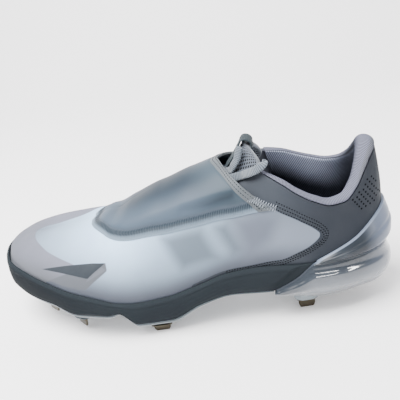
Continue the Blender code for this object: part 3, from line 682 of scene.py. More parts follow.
# %% Panels
FILM_TOE_EDGE = rounded(
    [(-80, 13), (-86, 9.4), (-95, 6.7), (-106, 4.5), (-118, 5.2), (-124.6, 2), (-122.5, -10), (-117.8, -19.9)]
    + [(-112.1, -27.3), (-102.6, -37), (-95, -42.4), (-86.5, -47.5), (-75.7, -53.2)]
)
DART = [(-103.7, -52.5), (-52.1, -53.1), (-66.0, -64.0)]
DART_BAND = [(-52.1, -53.2), (-51.0, -59.0), (-68.6, -72.3), (-74, -71.5), (-86.8, -67.2)]
DART_BAND += [(-95, -62.9), (-101, -62.4)]
TOE_CAP = (
    mirrored([(-75.7, -53.2), (-72, -46), (-69, -34), (-72, -22)])
    + FILM_TOE_EDGE
    + DART_BAND
    + [(-106, -70), (-112, -90), (-170, -90), (-170, 90), (-112, 90), (-106, 70)]
    + mirrored(DART_BAND)[::-1]
)
DART_GAP = [(-55.5, -55.3), (-52.2, -58.4), (-67.8, -66.6), (-66.5, -64.9)]
QUARTER_EDGE = rounded(
    [(60, -36), (64, -47.5), (69.6, -53.9), (81.2, -70.1), (92, -85.5), (98.6, -95.6), (100.3, -99.4)]
    + [(98.8, -102), (93, -102.5), (85.9, -100.4), (76, -96.2), (61.2, -88.2), (47, -83.0), (33.4, -82.8)]
    + [(21.7, -84.4), (8, -87.5)]
)
QUARTER = [(34, -4), (40, -26), (52, -42)] + QUARTER_EDGE[4:] + [(4, -130), (175, -130), (175, 0), (80, 0)]
WINDOWS = (
    [(-9.0, -47.5), (19.0, -49.5), (28.5, -71.0), (3.5, -72.5)],
    [(30.5, -50.5), (37.0, -50.0), (46.0, -69.0), (40.5, -70.5)],
)
REAR = [(43, -47), (64, -52), (72, -62), (66, -74), (50, -76)]
PANELS = {
    "dart": [DART],
    "dart_gap": [DART_GAP],
    "band": [DART_BAND],
    "quarter": [QUARTER],
    "window": WINDOWS,
    "rear": [REAR],
}


def upper_fields(x, s):
    """Signed distances to the upper's panels, in mm, for its relief and its material."""
    fields = {name: panel_field(x, s, *shapes) for name, shapes in PANELS.items()}
    return {"toe": panel_depth(x, s, TOE_CAP), **fields}


print("toe cap has", len(TOE_CAP), "points, quarter", len(QUARTER))

# %% [markdown]
# Creases are soft troughs and ridges laid where a new shoe already bends: over the ball, beside
# the pad, in front of the ankle and round the heel. Each is a short line with a width and a depth.

# %% Upper shell
CREASES = (
    (-62, -40, -40, -60, 7.0, -0.45),
    (-50, -46, -30, -66, 6.0, 0.30),
    (-30, -48, -22, -70, 5.0, -0.30),
    (-66, 26, -40, 52, 8.0, -0.50),
    (-30, 48, -18, 72, 6.0, -0.35),
    (40, -58, 74, -74, 6.0, -0.35),
    (72, -58, 104, -88, 8.0, 0.35),
    (104, -88, 128, -100, 9.0, -0.55),
    (84, -78, 112, -108, 9.0, -0.30),
    (72, 60, 104, 92, 9.0, 0.35),
    (104, 90, 128, 102, 9.0, -0.55),
    (120, -84, 138, -92, 8.0, 0.30),
)
PANEL_STEP = 0.35
STEPS = (
    ("quarter", -0.4, 0.6, 1.0),
    ("toe", -0.6, 0.8, 0.5),
    ("dart", -0.3, 0.5, 0.7),
    ("dart_gap", -0.4, 0.4, -0.6),
)
UPPER_COLUMNS = 520
UPPER_ROWS = 74
CUP_DEPTH = 0.008
TUCK = 0.0015


def crease_lift(x, s):
    """How much the creases raise or lower the film there, in mm."""
    lift = np.zeros(np.shape(x))
    for ax, ay, bx, by, width, depth in CREASES:
        lift += depth * bell(line_distance(x, s, [(ax, ay), (bx, by)]), width)
    return lift


def upper_grid():
    """The turns and climbs of the upper's points, and their places in the flat pattern."""
    turn = np.linspace(0, 2 * math.pi, UPPER_COLUMNS, endpoint=False)
    turns = spread(turn, UPPER_ROWS + 1)
    climbs = edge_climb(turn)[:, None] * np.linspace(0, 1, UPPER_ROWS + 1)[None]
    return (turn, turns, climbs, *flat_pattern(turns, climbs), skin_normal(turns, climbs))


UPPER_GRID = upper_grid()


def build_upper():
    turn, turns, climbs, x, s, normals = UPPER_GRID
    normals = normals.copy()
    fields = upper_fields(x, s)
    step = sum(PANEL_STEP * share * smooth(low, high, fields[name]) for name, low, high, share in STEPS)
    window, quarter = fields["window"], fields["quarter"]
    step += 0.35 * PANEL_STEP * (1 - smooth(-1.5, 1.5, window)) * smooth(1.0, -2.0, quarter)
    welded = (along_at(turn) <= SLOT[0, 0]) & (climbs[:, -1] > math.pi / 2 - 1e-6)
    opposite = (-np.arange(UPPER_COLUMNS)) % UPPER_COLUMNS
    normals[welded, -1] = unit(normals[welded, -1] + normals[opposite[welded], -1])
    tuck_in = 1.1 * smooth(0.13, 0.03, along_at(turns)) * smooth(0.55, 0.1, climbs)
    relief = (step + crease_lift(x, s) - tuck_in) * MM * smooth(0.0, 0.10, climbs / (math.pi / 2))
    relief[welded, -1] = (relief[welded, -1] + relief[opposite[welded], -1]) / 2
    base = rib(turns, climbs)
    height = bite_height(along_at(turn)) - CUP_DEPTH + GAP
    grids = []
    outside, inside = base + normals * relief[..., None], base - normals * UPPER_WALL
    for grid, tuck in ((outside, TUCK), (inside, TUCK + UPPER_WALL)):
        foot = np.column_stack([outline(turn, np.full(UPPER_COLUMNS, -tuck)), height])
        grids.append(np.concatenate([foot[:, None], grid], 1))
    rows = UPPER_ROWS + 2
    number = np.arange(UPPER_COLUMNS * rows).reshape(UPPER_COLUMNS, rows)
    count = number.size
    skin_faces = quads(UPPER_COLUMNS, rows, True)
    rims = [edge_strip(line, line + count, wrap=True) for line in (number[:, 0], number[:, -1])]
    rims[1] = rims[1][~(welded & np.roll(welded, -1))]
    fields["low"] = base[..., 2] / MM - bite_height(along_at(turns)) / MM
    fields["x"] = x
    for key, value in fields.items():
        value = np.concatenate([value[:, :1], value], 1).ravel()
        fields[key] = np.concatenate([value, value])
    fields["lining"] = np.repeat([0.0, 1.0], count)
    faces = np.concatenate([skin_faces, skin_faces[:, ::-1] + count, *rims])
    return make_piece("upper_shell", np.array(grids), faces, weld=1e-5, fields=fields)


def film_paint():
    """Pale film over grey cloth, with the toe cap, darts, windows and quarter in their own tones, and painted
    shade towards the sole.
    """
    paint = Paint("upper_film", (206, 216, 226), 0.5, specular_ior_level=0.14)
    # The film's lower side is darker: partly its own greyer tone, partly painted shade where the side turns
    # from the light.
    low = paint.over((168, 177, 187), ("x", -70, 60, (150, 158, 168)))
    rear = paint.over((148, 156, 167), ("low", 44, 24, (156, 164, 174)))
    film = paint.over(
        paint.clouds(38, (198, 208, 218), (208, 218, 228), 2),
        ("low", 44, 10, low),
        ("x", -60, 20, (170, 180, 190)),
        ("x", 20, 60, rear),
        # Painted shade on the film just above the sole.
        ("low", 20, 2, (114, 121, 132)),
    )
    toe = paint.over(
        paint.clouds(60, (150, 152, 163), (162, 164, 175)),
        # Painted shade on the toe cap, deepening towards the sole.
        ("low", 22, 1, (134, 137, 145)),
        ("band", -0.5, 0.5, (128, 132, 140)),
    )
    quarter = paint.over(paint.clouds(24, (51, 57, 68), (60, 66, 77)), ("x", 110, 66, (78, 85, 96)))
    seen = paint.over(
        paint.mix(paint.both(paint.ease("window", -6, 4.6), 0.8), film, (122, 132, 144)),
        ("rear", -9, 7, (136, 144, 155)),
        ("toe", -0.45, 0.45, toe),
        ("dart_gap", -0.5, 0.3, (138, 142, 150)),
        ("dart", -0.25, 0.25, paint.clouds(300, (62, 70, 79), (70, 78, 87), 2)),
        ("quarter", -0.25, 0.25, quarter),
    )
    paint.put(paint.shader, "Roughness", paint.ease(paint.noise(55), -1.1, 1.5))
    relief = paint.grain(1500, 0.00025, 0.22, 4, paint.grain(90, 0.0006, 0.12))
    return paint.done(paint.mix(paint.field("lining"), seen, (150, 152, 162)), relief)


upper = finish_piece(build_upper(), film_paint(), "pale_film", "upper")
print("upper shell:", len(upper.data.polygons), "faces")

# %% [markdown]
# Threads, holes and perforations repeat along lines or over a patch, so Geometry Nodes lays them. Each
# line is a chain of points with an "up" value, the skin's own direction there. The tree spaces the line
# evenly, puts one rounded part at each place, realises the parts and gives them their material.

# %% Rows of stitches
SIZE_NAMES = ("Pitch", "Length", "Width", "Height")


def flat_map():
    """A tree of the upper's flat pattern, to find a place of the skin from its flat values."""
    _, turns, climbs, x, s, normals = UPPER_GRID
    flat = np.stack([x, s, 0 * x], -1).reshape(-1, 3)
    faces = [f for f in quads(*x.shape).tolist() if flat[f[0], 1] * flat[f[2], 1] >= 0]
    step = PANEL_STEP * smooth(-0.4, 0.6, panel_field(x, s, QUARTER))
    lifted = rib(turns, climbs) + normals * ((step + crease_lift(x, s)) * MM)[..., None]
    tree = BVHTree.FromPolygons(flat.tolist(), faces)
    return tree, flat, faces, lifted.reshape(-1, 3), normals.reshape(-1, 3)


FLAT_TREE, FLAT_POINTS, FLAT_FACES, LIFTED, LIFTED_UP = flat_map()


def on_upper(x, s, lift=0.0):
    """The skin's point and direction at a place of the flat pattern, in mm."""
    spot, _, index, _ = FLAT_TREE.ray_cast(Vector((x, s, 5.0)), Vector((0, 0, -1)))
    if spot is None:
        spot, _, index, _ = FLAT_TREE.find_nearest(Vector((x, s, 0)))
    corners = FLAT_FACES[index][:3]
    flat = [Vector(FLAT_POINTS[i]) for i in corners]
    place = barycentric_transform(Vector((spot.x, spot.y, 0)), *flat, *[Vector(LIFTED[i]) for i in corners])
    up = Vector(LIFTED_UP[corners].mean(0)).normalized()
    return np.array(place + up * lift), np.array(up)


def chain(name, lines):
    """Lines of points as one mesh of edges, each point with its up direction."""
    points, ups, edges = [], [], []
    for line in lines:
        edges += [(i, i + 1) for i in range(len(points), len(points) + len(line) - 1)]
        points += [tuple(point) for point, _ in line]
        ups += [up for _, up in line]
    mesh = bpy.data.meshes.new(name)
    mesh.from_pydata(points, edges, [])
    made = mesh.attributes.new("up", "FLOAT_VECTOR", "POINT")
    made.data.foreach_set("vector", np.array(ups, np.float32).ravel())
    return add_object(name, mesh)


def parts_tree(on_line):
    """The node tree: rounded parts along lines, or on points, turned to each point's up."""
    tree = bpy.data.node_groups.new("parts_on_line" if on_line else "parts_on_points", "GeometryNodeTree")
    kinds = {"Geometry": "Geometry", **dict.fromkeys(SIZE_NAMES, "Float"), "Paint": "Material"}
    for label, kind in kinds.items():
        tree.interface.new_socket(label, in_out="INPUT", socket_type="NodeSocket" + kind)
    tree.interface.new_socket("Geometry", in_out="OUTPUT", socket_type="NodeSocketGeometry")

    def add(kind, output, inputs, **settings):
        """One node with its inputs linked or set; gives back one of its outputs."""
        node = tree.nodes.new(kind)
        for key, value in settings.items():
            setattr(node, key, value)
        for socket, value in inputs.items():
            if isinstance(value, bpy.types.NodeSocket):
                tree.links.new(value, node.inputs[socket])
            else:
                node.inputs[socket].default_value = value
        return node.outputs[output] if node.outputs else None

    given = tree.nodes.new("NodeGroupInput").outputs
    source = given["Geometry"]
    up = add("GeometryNodeInputNamedAttribute", "Attribute", {"Name": "up"}, data_type="FLOAT_VECTOR")
    rotation = add("FunctionNodeAlignEulerToVector", "Rotation", {"Vector": up}, axis="Z")
    if on_line:
        curve = add("GeometryNodeMeshToCurve", 0, {0: source})
        spacing = {"Curve": curve, "Length": given["Pitch"]}
        source = add("GeometryNodeResampleCurve", 0, spacing, mode="LENGTH")
        ahead = {"Rotation": rotation, "Vector": add("GeometryNodeInputTangent", 0, {})}
        rotation = add("FunctionNodeAlignEulerToVector", "Rotation", ahead, axis="X", pivot_axis="Z")
    ball = add("GeometryNodeMeshUVSphere", 0, {"Segments": 10, "Rings": 6, "Radius": 0.5})
    size = add("ShaderNodeCombineXYZ", 0, {axis: given[label] for axis, label in zip("XYZ", SIZE_NAMES[1:])})
    laying = {"Points": source, "Instance": ball, "Rotation": rotation, "Scale": size}
    real = add("GeometryNodeRealizeInstances", 0, {0: add("GeometryNodeInstanceOnPoints", 0, laying)})
    painted = add("GeometryNodeSetMaterial", 0, {"Geometry": real, "Material": given["Paint"]})
    add("NodeGroupOutput", 0, {0: painted})
    return tree


ON_LINE, ON_POINTS = parts_tree(True), parts_tree(False)


def lay_parts(name, lines, paint, slot_name, sizes, tree=ON_LINE):
    """Runs the tree on the lines, with its sizes in the order of SIZE_NAMES, and keeps a plain mesh."""
    guide = chain(name + "_guide", lines)
    way = guide.modifiers.new("parts", "NODES")
    way.node_group = tree
    sockets = {item.name: item.identifier for item in tree.interface.items_tree if item.in_out == "INPUT"}
    way[sockets["Paint"]] = paint
    for label, value in zip(SIZE_NAMES, sizes):
        way[sockets[label]] = value
    graph = bpy.context.evaluated_depsgraph_get()
    mesh = bpy.data.meshes.new_from_object(guide.evaluated_get(graph))
    guide.modifiers.remove(way)
    bpy.data.objects.remove(guide)
    mesh.shade_smooth()
    return finish_piece(add_object(name, mesh), paint, slot_name)


def beside(line, gap):
    """A flat line moved sideways by a gap."""
    line = np.array(line, float)
    run = unit(np.gradient(line, axis=0))
    return line + np.stack([-run[:, 1], run[:, 0]], -1) * gap


def both_sides(lines):
    return [line for flat in lines for line in (flat, mirrored(flat))]


def seam_rows(gaps, lift, skip=0):
    """Places on the skin in rows beside the seam, on both sides of the shoe."""
    rows = both_sides([beside(SEAM_LINE, gap) for gap in gaps])
    return [[on_upper(x, s, lift) for x, s in row[skip:]] for row in rows]


# Near-black paint: on the seam holes and heel vents the dots are painted shade inside the holes; the throat's
# stitch rows take it too.
HOLE_PAINT = Paint("pin_hole", (18, 20, 24), 0.9, specular_ior_level=0.0).material
THREAD_PAINT = Paint("seam_thread", (96, 102, 112), 0.7).material
SILVER_PAINT = Paint("bartack_thread", (182, 187, 192), 0.45).material
SEAM_LINE = resample(
    [(71.8, -53.6), (81.4, -67.2), (91.5, -81.5), (99.5, -92.5), (103.6, -99.5), (104.0, -104.0)]
    + [(99.5, -106.4), (89.3, -104.2), (78.6, -99.4), (61, -90.2), (47, -85.2), (34, -84.8)],
    80,
)
# The seam holes are dots of painted shade.
lines = seam_rows((1.7, 0.2, -1.3), 0.00012)
holes = lay_parts("seam_holes", lines, HOLE_PAINT, "pale_film", (0.0019, 0.0009, 0.0009, 0.0003))
lines = seam_rows((0.95, -0.55), 0.0001, skip=1)
threads = lay_parts("seam_threads", lines, THREAD_PAINT, "pale_film", (0.0019, 0.0008, 0.00035, 0.0003))
PATCH = [(121.7, -90.7), (138.1, -78.1), (144.1, -98.4), (129.7, -102.5)]
PATCH_MIDDLE = (134, -92)
VENT_PITCH = (3.0, 2.6)
grid = [(row, step) for row in range(-12, 13) for step in range(-12, 13)]
spots = [
    (PATCH_MIDDLE[0] + VENT_PITCH[0] * (step + (row % 2) / 2), PATCH_MIDDLE[1] + row * VENT_PITCH[1])
    for row, step in grid
]
spots = [(x, s) for x, s in spots if panel_depth(np.array(x), np.array(s), PATCH) > 0]
spots = [spot for x, s in spots for spot in ((x, s), (x, -s))]
# The vents are dots of painted shade.
lines = [[on_upper(x, s, 0.0001)] for x, s in spots]
vents = lay_parts("heel_vents", lines, HOLE_PAINT, "pale_film", (0.001, 0.0014, 0.0014, 0.0003), ON_POINTS)
faces = sum(len(piece.data.polygons) for piece in (holes, threads, vents))
print("seam rows and vents:", faces, "faces,", len(spots), "vents")

# %% [markdown]
# The padded cover over the laces is one cap. Its height over the skin follows the distance from its edge:
# a thin hem that fades into the film, a ribbed ditch, then the steep side of the pad. A piping ends it
# at the throat.

# %% Shroud
SHROUD = np.array(
    [
        (0.229, 0.05, 0.18),
        (0.245, 0.14, 0.20),
        (0.280, 0.25, 0.24),
        (0.320, 0.35, 0.26),
        (0.370, 0.45, 0.34),
        (0.450, 0.51, 0.48),
        (0.570, 0.58, 0.66),
        (0.670, 0.62, 0.86),
        (0.750, 0.69, 1.00),
    ]
)
THROAT = np.array([(0, 0.635), (0.22, 0.650), (0.55, 0.682), (0.78, 0.708), (0.92, 0.728), (1, 0.745)])
SHROUD_ROWS = 190
SHROUD_COLUMNS = 221
SHROUD_WALL = 0.0016
SHROUD_RAISE = 0.0062
HEM_WALL = 0.0005
DITCH_AT = 5.2
DITCH_WIDE = 2.9
DITCH_DEPTH = 0.0011
HEM_FALL = 0.0015
PIPING = 0.00035
FOLD_DEPTH = 0.0009
FOLD_LINE = [(8, -34.0), (28, -33.6), (44, -31.5)]


def round_from_crown(turns, climbs):
    """The flat pattern's second value for scattered points."""
    turn, climb = turns.reshape(-1, 1), climbs.reshape(-1, 1)
    down = climb + (math.pi / 2 - climb) * np.linspace(0, 1, 33)
    ribs = rib(turn + 0 * down, down)
    arcs = np.linalg.norm(np.diff(ribs, axis=1), axis=2).sum(1)
    return (side_of(turns) * arcs.reshape(turns.shape)) / MM


def shroud_sheet():
    u = spread(np.linspace(0, 1, SHROUD_ROWS) ** 1.15, SHROUD_COLUMNS)
    w = squared(spread(np.linspace(-1, 1, SHROUD_COLUMNS), SHROUD_ROWS).T, 0.9)
    start = SHROUD[0, 0]
    along = start + (hermite(THROAT[:, 0], THROAT[:, 1], np.abs(w)) - start) * u
    reach = hermite(SHROUD[:, 0], SHROUD[:, 1], along)
    padding = hermite(SHROUD[:, 0], SHROUD[:, 2], along)
    down = w * reach
    turns = turn_beside(along, down)
    climbs = (1 - np.abs(down)) * math.pi / 2
    x = rib(turns, climbs)[..., 0] / MM
    s = round_from_crown(turns, climbs)
    sides = [list(zip(x[:, i], s[:, i])) for i in (0, -1)]
    hem = sides[0][::-4] + list(zip(x[0], s[0]))[::6] + sides[1][::4]
    edge = line_distance(x, s, hem)
    back = line_distance(x, s, list(zip(x[-1], s[-1]))[::4])
    side = (1 - smooth(0.64, 0.87, np.abs(w))) ** 0.75
    pad = SHROUD_RAISE * padding * side * smooth(0.03, 0.15, u)
    ditch = bell(edge - DITCH_AT, DITCH_WIDE)
    hem_fall = 1 - smooth(0.0, 3.4, edge)
    piping = smooth(5.2, 4.6, back) * PIPING - bell(back - 5.3, 0.5) * PIPING
    lift = SHROUD_WALL + 2 * GAP + pad - DITCH_DEPTH * ditch - HEM_FALL * hem_fall + piping
    fold = line_distance(x, s, FOLD_LINE)
    lift -= FOLD_DEPTH * bell(fold, 3.0) * smooth(0.0, 6.0, back)
    wall = HEM_WALL + (SHROUD_WALL - HEM_WALL) * (1 - hem_fall)
    normals = skin_normal(turns, climbs)
    base = rib(turns, climbs)
    outer = base + normals * lift[..., None]
    inner = base + normals * (lift - wall)[..., None]
    middle = SHROUD_COLUMNS // 2
    for grid in (outer, inner):
        grid[:, middle, 1] = MIDDLE_Y + BALL_WIDTH * section("ridge", along[:, middle])
    fields = {"edge": edge, "back": back, "x": x, "fold": fold}
    return slab("shroud_cover", outer, inner, fields), outer, back


def shroud_paint():
    paint = Paint("shroud_film", (160, 175, 188), 0.45, specular_ior_level=0.14)
    ribs = paint.wave(paint.field("x"), 1.25)
    # The ditch's ribs are in dark tones: painted shade in the recess, over the ribs' own pattern.
    ditch = paint.mix(ribs, (56, 70, 83), (94, 109, 123))
    pad = paint.over(
        paint.clouds(40, (48, 64, 80), (56, 73, 90), 2),
        ("edge", 34, 12, (106, 124, 140)),
        ("back", 30, 6, (88, 107, 122)),
    )
    # Painted shade along the fold, stronger towards the throat.
    shade = paint.both(paint.ease("fold", 8, -3), paint.ease("x", 0, 40))
    seen = paint.over(
        paint.mix(shade, pad, (50, 62, 74)),
        # Painted shade on the pad's lower edge, running into the ditch.
        ("edge", 9.5, 7, (100, 114, 128)),
        ("edge", 7.4, 6, ditch),
        ("edge", 4.2, 1.4, paint.mix(0.7, ditch, (170, 180, 190))),
        ("back", 5.1, 4.9, (128, 134, 139)),
    )
    in_ditch = paint.both(paint.ease("edge", 8, 6.2), paint.ease("edge", 0.8, 2.2))
    relief = paint.bump(paint.both(ribs, in_ditch), 0.0005, 0.8, paint.grain(1400, 0.0002, 0.2))
    return paint.done(seen, relief)


shroud, SHROUD_OUTER, SHROUD_BACK = shroud_sheet()
finish_piece(shroud, shroud_paint(), "blue_grey_film", "lace_shroud")
print("shroud:", len(shroud.data.polygons), "faces")

# %% [markdown]
# Two rows of stitches follow the piping at the throat. A dense zigzag of thread ties its lower end down.

# %% Throat stitches
TACK_STITCHES = 25
TACK_REACH = 1.7


def shroud_line(outer, back, distance, first, last):
    """A line over the cover at a distance from its throat edge, between two columns."""
    outer, back = outer[::-1], back[::-1]
    line = []
    for column in range(first, last):
        place = np.interp(distance, back[:, column], np.arange(len(back)))
        low = int(place)
        share = place - low
        rows = outer[:, column]
        point = rows[low] * (1 - share) + rows[min(low + 1, len(rows) - 1)] * share
        down = rows[low] - rows[min(low + 2, len(rows) - 1)]
        over = outer[low, min(column + 1, last)] - outer[low, max(column - 1, 0)]
        up = unit(np.cross(down, over))
        up = up if up[2] > 0 else -up
        line.append((point + up * 0.0001, up))
    return line


lines = [shroud_line(SHROUD_OUTER, SHROUD_BACK, d, 2, SHROUD_OUTER.shape[1] - 2) for d in (1.1, 3.1)]
stitches = lay_parts("throat_stitches", lines, HOLE_PAINT, "pale_film", (0.0021, 0.0015, 0.0005, 0.0004))
TACK = resample([(55.0, -38.2), (59.2, -41.8), (63.1, -46.4), (67.7, -51.4), (72.5, -56.2)], TACK_STITCHES)
zigzag = []
for i, (x, s) in enumerate(TACK):
    ahead = TACK[min(i + 1, TACK_STITCHES - 1)] - TACK[max(i - 1, 0)]
    across = np.array([-ahead[1], ahead[0]]) / np.linalg.norm(ahead) * (TACK_REACH if i % 2 else -TACK_REACH)
    zigzag.append((float(x + across[0]), float(s + across[1])))
rows = both_sides([zigzag])
lines = [[on_upper(x, s, 0.0026 - 0.0021 * float(smooth(60, 70, x))) for x, s in row] for row in rows]
tack = lay_parts("throat_tack", lines, SILVER_PAINT, "pale_film", (0.0004, 0.0007, 0.0003, 0.0004))
print("throat stitches:", len(stitches.data.polygons), "tack:", len(tack.data.polygons), "faces")

# %% [markdown]
# The tongue is one padded sheet: its hidden part lies under the cover and its free part stands up. The
# strap on it is a folded band. Both repeat the solid's rows, only smoother.

# %% Tongue and strap
HIDDEN_TONGUE = ((0.405, 0.090), (0.430, 0.130), (0.500, 0.180), (0.560, 0.185), (0.605, 0.180))
FREE_TONGUE = (
    (0.636, 0.993, 0.150, 0.655, 0.940),
    (0.652, 1.046, 0.160, 0.692, 0.973),
    (0.665, 1.099, 0.150, 0.717, 1.022),
    (0.674, 1.139, 0.115, 0.712, 1.089),
    (0.679, 1.166, 0.060, 0.694, 1.147),
)
TONGUE_WALL = 0.0045
TONGUE_CLEARANCE = 0.0012
TAB_WIDTH = 0.013
TAB_WALL = 0.0013
TAB_CLEARANCE = 0.0006
THROAT_HEIGHT = float(crown_height(THROAT_ALONG))
TRENCH_DEPTH = 0.0004
TONGUE_ROWS = 130
TONGUE_COLUMNS = 101
STRAP_ROWS = 90
STRAP_AROUND = 28


def under_skin(along, half, share, depth):
    """A row of points under the upper's skin, across the shoe."""
    turn = turn_beside(along, share)
    foot = outline(turn)[..., 1]
    crown = MIDDLE_Y + BALL_WIDTH * section("ridge", along)
    across = MIDDLE_Y + BALL_WIDTH * half * share
    q = np.clip((across - crown) / (foot - crown), 0, 1)
    return skin(turn, np.arccos(q ** (section("square", along) / 2)), -depth)


def tongue_rows():
    """The solid tongue's own rows, from its hidden end to its top."""
    share = np.linspace(-1, 1, 11)
    rows = [under_skin(along, half, share, UPPER_WALL + TONGUE_CLEARANCE) for along, half in HIDDEN_TONGUE]
    for middle_along, middle_up, half, edge_along, edge_up in FREE_TONGUE:
        back = np.abs(share) ** 2.2
        x = TOE_X + LAST_LENGTH * (middle_along + (edge_along - middle_along) * back)
        y = MIDDLE_Y + BALL_WIDTH * (half * share - 0.008)
        z = THROAT_HEIGHT * (middle_up + (edge_up - middle_up) * back)
        rows.append(np.stack([x, y, z], -1))
    return np.array(rows)


def grid_normals(grid):
    return unit(np.cross(np.gradient(grid, axis=0), np.gradient(grid, axis=1)))


def build_tongue():
    across = resample(resample(tongue_rows(), TONGUE_ROWS).transpose(1, 0, 2), TONGUE_COLUMNS)
    grid = across.transpose(1, 0, 2)
    normals = grid_normals(grid)
    # The sheet grows to the side away from the cover over its hidden part.
    if normals[20, TONGUE_COLUMNS // 2, 2] > 0:
        normals = -normals
    v = np.stack([run_along(column) for column in across], 1) / MM
    u = np.stack([run_along(row) for row in grid]) / MM
    width = u[:, -1:]
    rim = np.minimum(np.minimum(u, width - u), v[-1:] - v)
    inward = np.clip(rim / 2.0, 0, 1)
    round_edge = np.sqrt(inward * (2 - inward))
    rolled = (0.5 - 0.5 * round_edge) * TONGUE_WALL
    trench = TRENCH_DEPTH * bell(rim - 2.4, 0.6)
    outer = grid + normals * (rolled + trench)[..., None]
    inner = grid + normals * (TONGUE_WALL - rolled)[..., None]
    return slab("tongue_pad", outer, inner, {"u": u - width / 2, "v": v, "rim": rim})


def mesh_paint():
    paint = Paint("tongue_mesh", (160, 164, 174), 0.85, sheen_weight=0.25)
    u, slant = paint.field("u"), paint.both(paint.field("v"), 0.58)
    holes = paint.both(*[paint.wave(paint.math(way, u, slant), 2.3) for way in ("ADD", "SUBTRACT")])
    holes = paint.ease(holes, 0.05, 0.24)
    rim = paint.ease("rim", 2.6, 2.2)
    # The openings of the weave are near-black: painted shade in the holes.
    cloth = paint.mix(rim, paint.mix(holes, (144, 151, 162), (22, 26, 32)), (150, 155, 163))
    open_holes = paint.both(holes, paint.math("SUBTRACT", 1.0, rim))
    height = paint.math("SUBTRACT", 1.0, open_holes)
    return paint.done(cloth, paint.bump(height, 0.0009, 0.9, paint.grain(2200, 0.0002, 0.4, 2)))


tongue = finish_piece(build_tongue(), mesh_paint(), "grey_mesh", "tongue")


def lean_out(slope):
    """Across a line that climbs in the shoe's middle plane, to its front."""
    return unit(np.stack([-slope[:, 2], 0 * slope[:, 0], slope[:, 0]], -1))


def build_strap():
    spine = tongue_rows()[len(HIDDEN_TONGUE) - 1 :, 5]
    slope = np.array([spine[min(i + 1, len(spine) - 1)] - spine[max(i - 1, 0)] for i in range(len(spine))])
    near = (spine + lean_out(slope) * (TAB_CLEARANCE + TAB_WALL / 2))[1:]
    top = near[-1]
    fold = (TONGUE_WALL + TAB_WALL) / 2 + 2 * TAB_CLEARANCE
    rise = unit(near[-1] - near[-2])
    back = np.array([rise[2], 0, -rise[0]])
    path = list(near)
    for step in range(1, 6):
        angle = math.pi * step / 5
        path.append(top + rise * fold * (0.05 + 0.75 * math.sin(angle)) + back * fold * (1 - math.cos(angle)))
    path.append(path[-1] - rise * fold * 0.45 + back * fold * 0.35)
    path = resample(path, STRAP_ROWS)
    normal = lean_out(np.gradient(path, axis=0)) * TAB_WALL / 2
    angles = np.linspace(0, 2 * math.pi, STRAP_AROUND, endpoint=False)
    across = squared(np.cos(angles), 0.35) * TAB_WIDTH / 2
    thick = squared(np.sin(angles), 0.6)
    rings = path[:, None] + normal[:, None] * thick[:, None] + across[:, None] * np.array([0, 1.0, 0])
    return ribbon("strap_band", rings, {"run": spread(run_along(path) / MM, STRAP_AROUND)})


def strap_paint():
    teal = (66, 82, 90)
    paint = Paint("strap_weave", teal, 0.75)
    weave = paint.wave(paint.field("run"), 0.9)
    return paint.done(paint.mix(weave, (44, 58, 66), teal), paint.bump(weave, 0.0003, 0.7))


strap = finish_piece(build_strap(), strap_paint(), "dark_webbing", "pull_tab")
print("tongue and strap:", len(tongue.data.polygons) + len(strap.data.polygons), "faces")

# %% [markdown]
# The collar is knit over foam. Its section is a short list of points, smoothed and swept round the ankle.
# The roll on top is light, and below it the lining is ribbed on the slant.

# %% Collar
PADS = np.array(
    [
        (0.735, 0.24, 0.26),
        (0.790, 0.44, 0.36),
        (0.880, 0.48, 0.46),
        (0.940, 0.62, 0.72),
        (1.000, 1.00, 1.00),
    ]
)
COLLAR_RISE = 0.0095
COLLAR_PAD = 0.0105
LINING_DEPTH = 0.034
LINING_WALL = 0.0014
LINING_FLOOR = 0.012
COLLAR_START = 0.737
COLLAR_COLUMNS = 320
STEPS_A_SPAN = 9
COLLAR_TOP = 55
SEAM_HEIGHT = 0.0005


def build_collar():
    turn = turns_behind(COLLAR_START, COLLAR_COLUMNS)
    along = along_at(turn)
    edge = HEEL_HEIGHT * collar_share(turn)
    rise = COLLAR_RISE * hermite(PADS[:, 0], PADS[:, 1], along)
    thick = COLLAR_PAD * hermite(PADS[:, 0], PADS[:, 2], along)
    wall = UPPER_WALL + 1.5 * GAP
    depth = np.minimum(LINING_DEPTH, edge - LINING_FLOOR)
    section_points = (
        (edge - depth, -wall),
        (edge - depth * 0.5, -wall),
        (edge + GAP * 1.5, -wall),
        (edge + GAP * 2.5, -GAP),
        (edge + rise * 0.45, GAP * 2),
        (edge + rise * 0.82, -wall * 0.40 - thick * 0.10),
        (edge + rise, -wall - thick * 0.42),
        (edge + rise * 0.80, -wall - thick * 0.86),
        (edge + rise * 0.20 - thick * 0.2, -wall - thick),
        (edge - depth * 0.50, -wall - thick * 0.62 - LINING_WALL * 0.3),
        (edge - depth, -wall - LINING_WALL),
    )
    rings = [skin(turn, height_climb(turn, height), lift + 0 * turn) for height, lift in section_points]
    spans = len(section_points) - 1
    around = spans * STEPS_A_SPAN + 1
    rings = resample(np.array(rings), around)
    profiles = rings.transpose(1, 0, 2)
    part = np.linspace(0, spans, around)
    front = 1 - smooth(0.90, 0.97, along)
    roll = part[None] + 0.95 * front[:, None] * smooth(5.6, 6.6, part)[None]
    drop = (profiles[..., 2] - (bite_height(along) + edge)[:, None]) / MM
    seam = bell(roll - 7.75, 0.16) * SEAM_HEIGHT
    profiles = profiles + skin_normal(turn, height_climb(turn, edge))[:, None] * seam[..., None]
    lines = {"run": run_along(rings[COLLAR_TOP]) / MM, "front": front, "heel": smooth(0.83, 0.95, along)}
    fields = {name: spread(values, around) for name, values in lines.items()}
    return ribbon("collar_knit", profiles, {"roll": roll, "drop": drop, **fields})


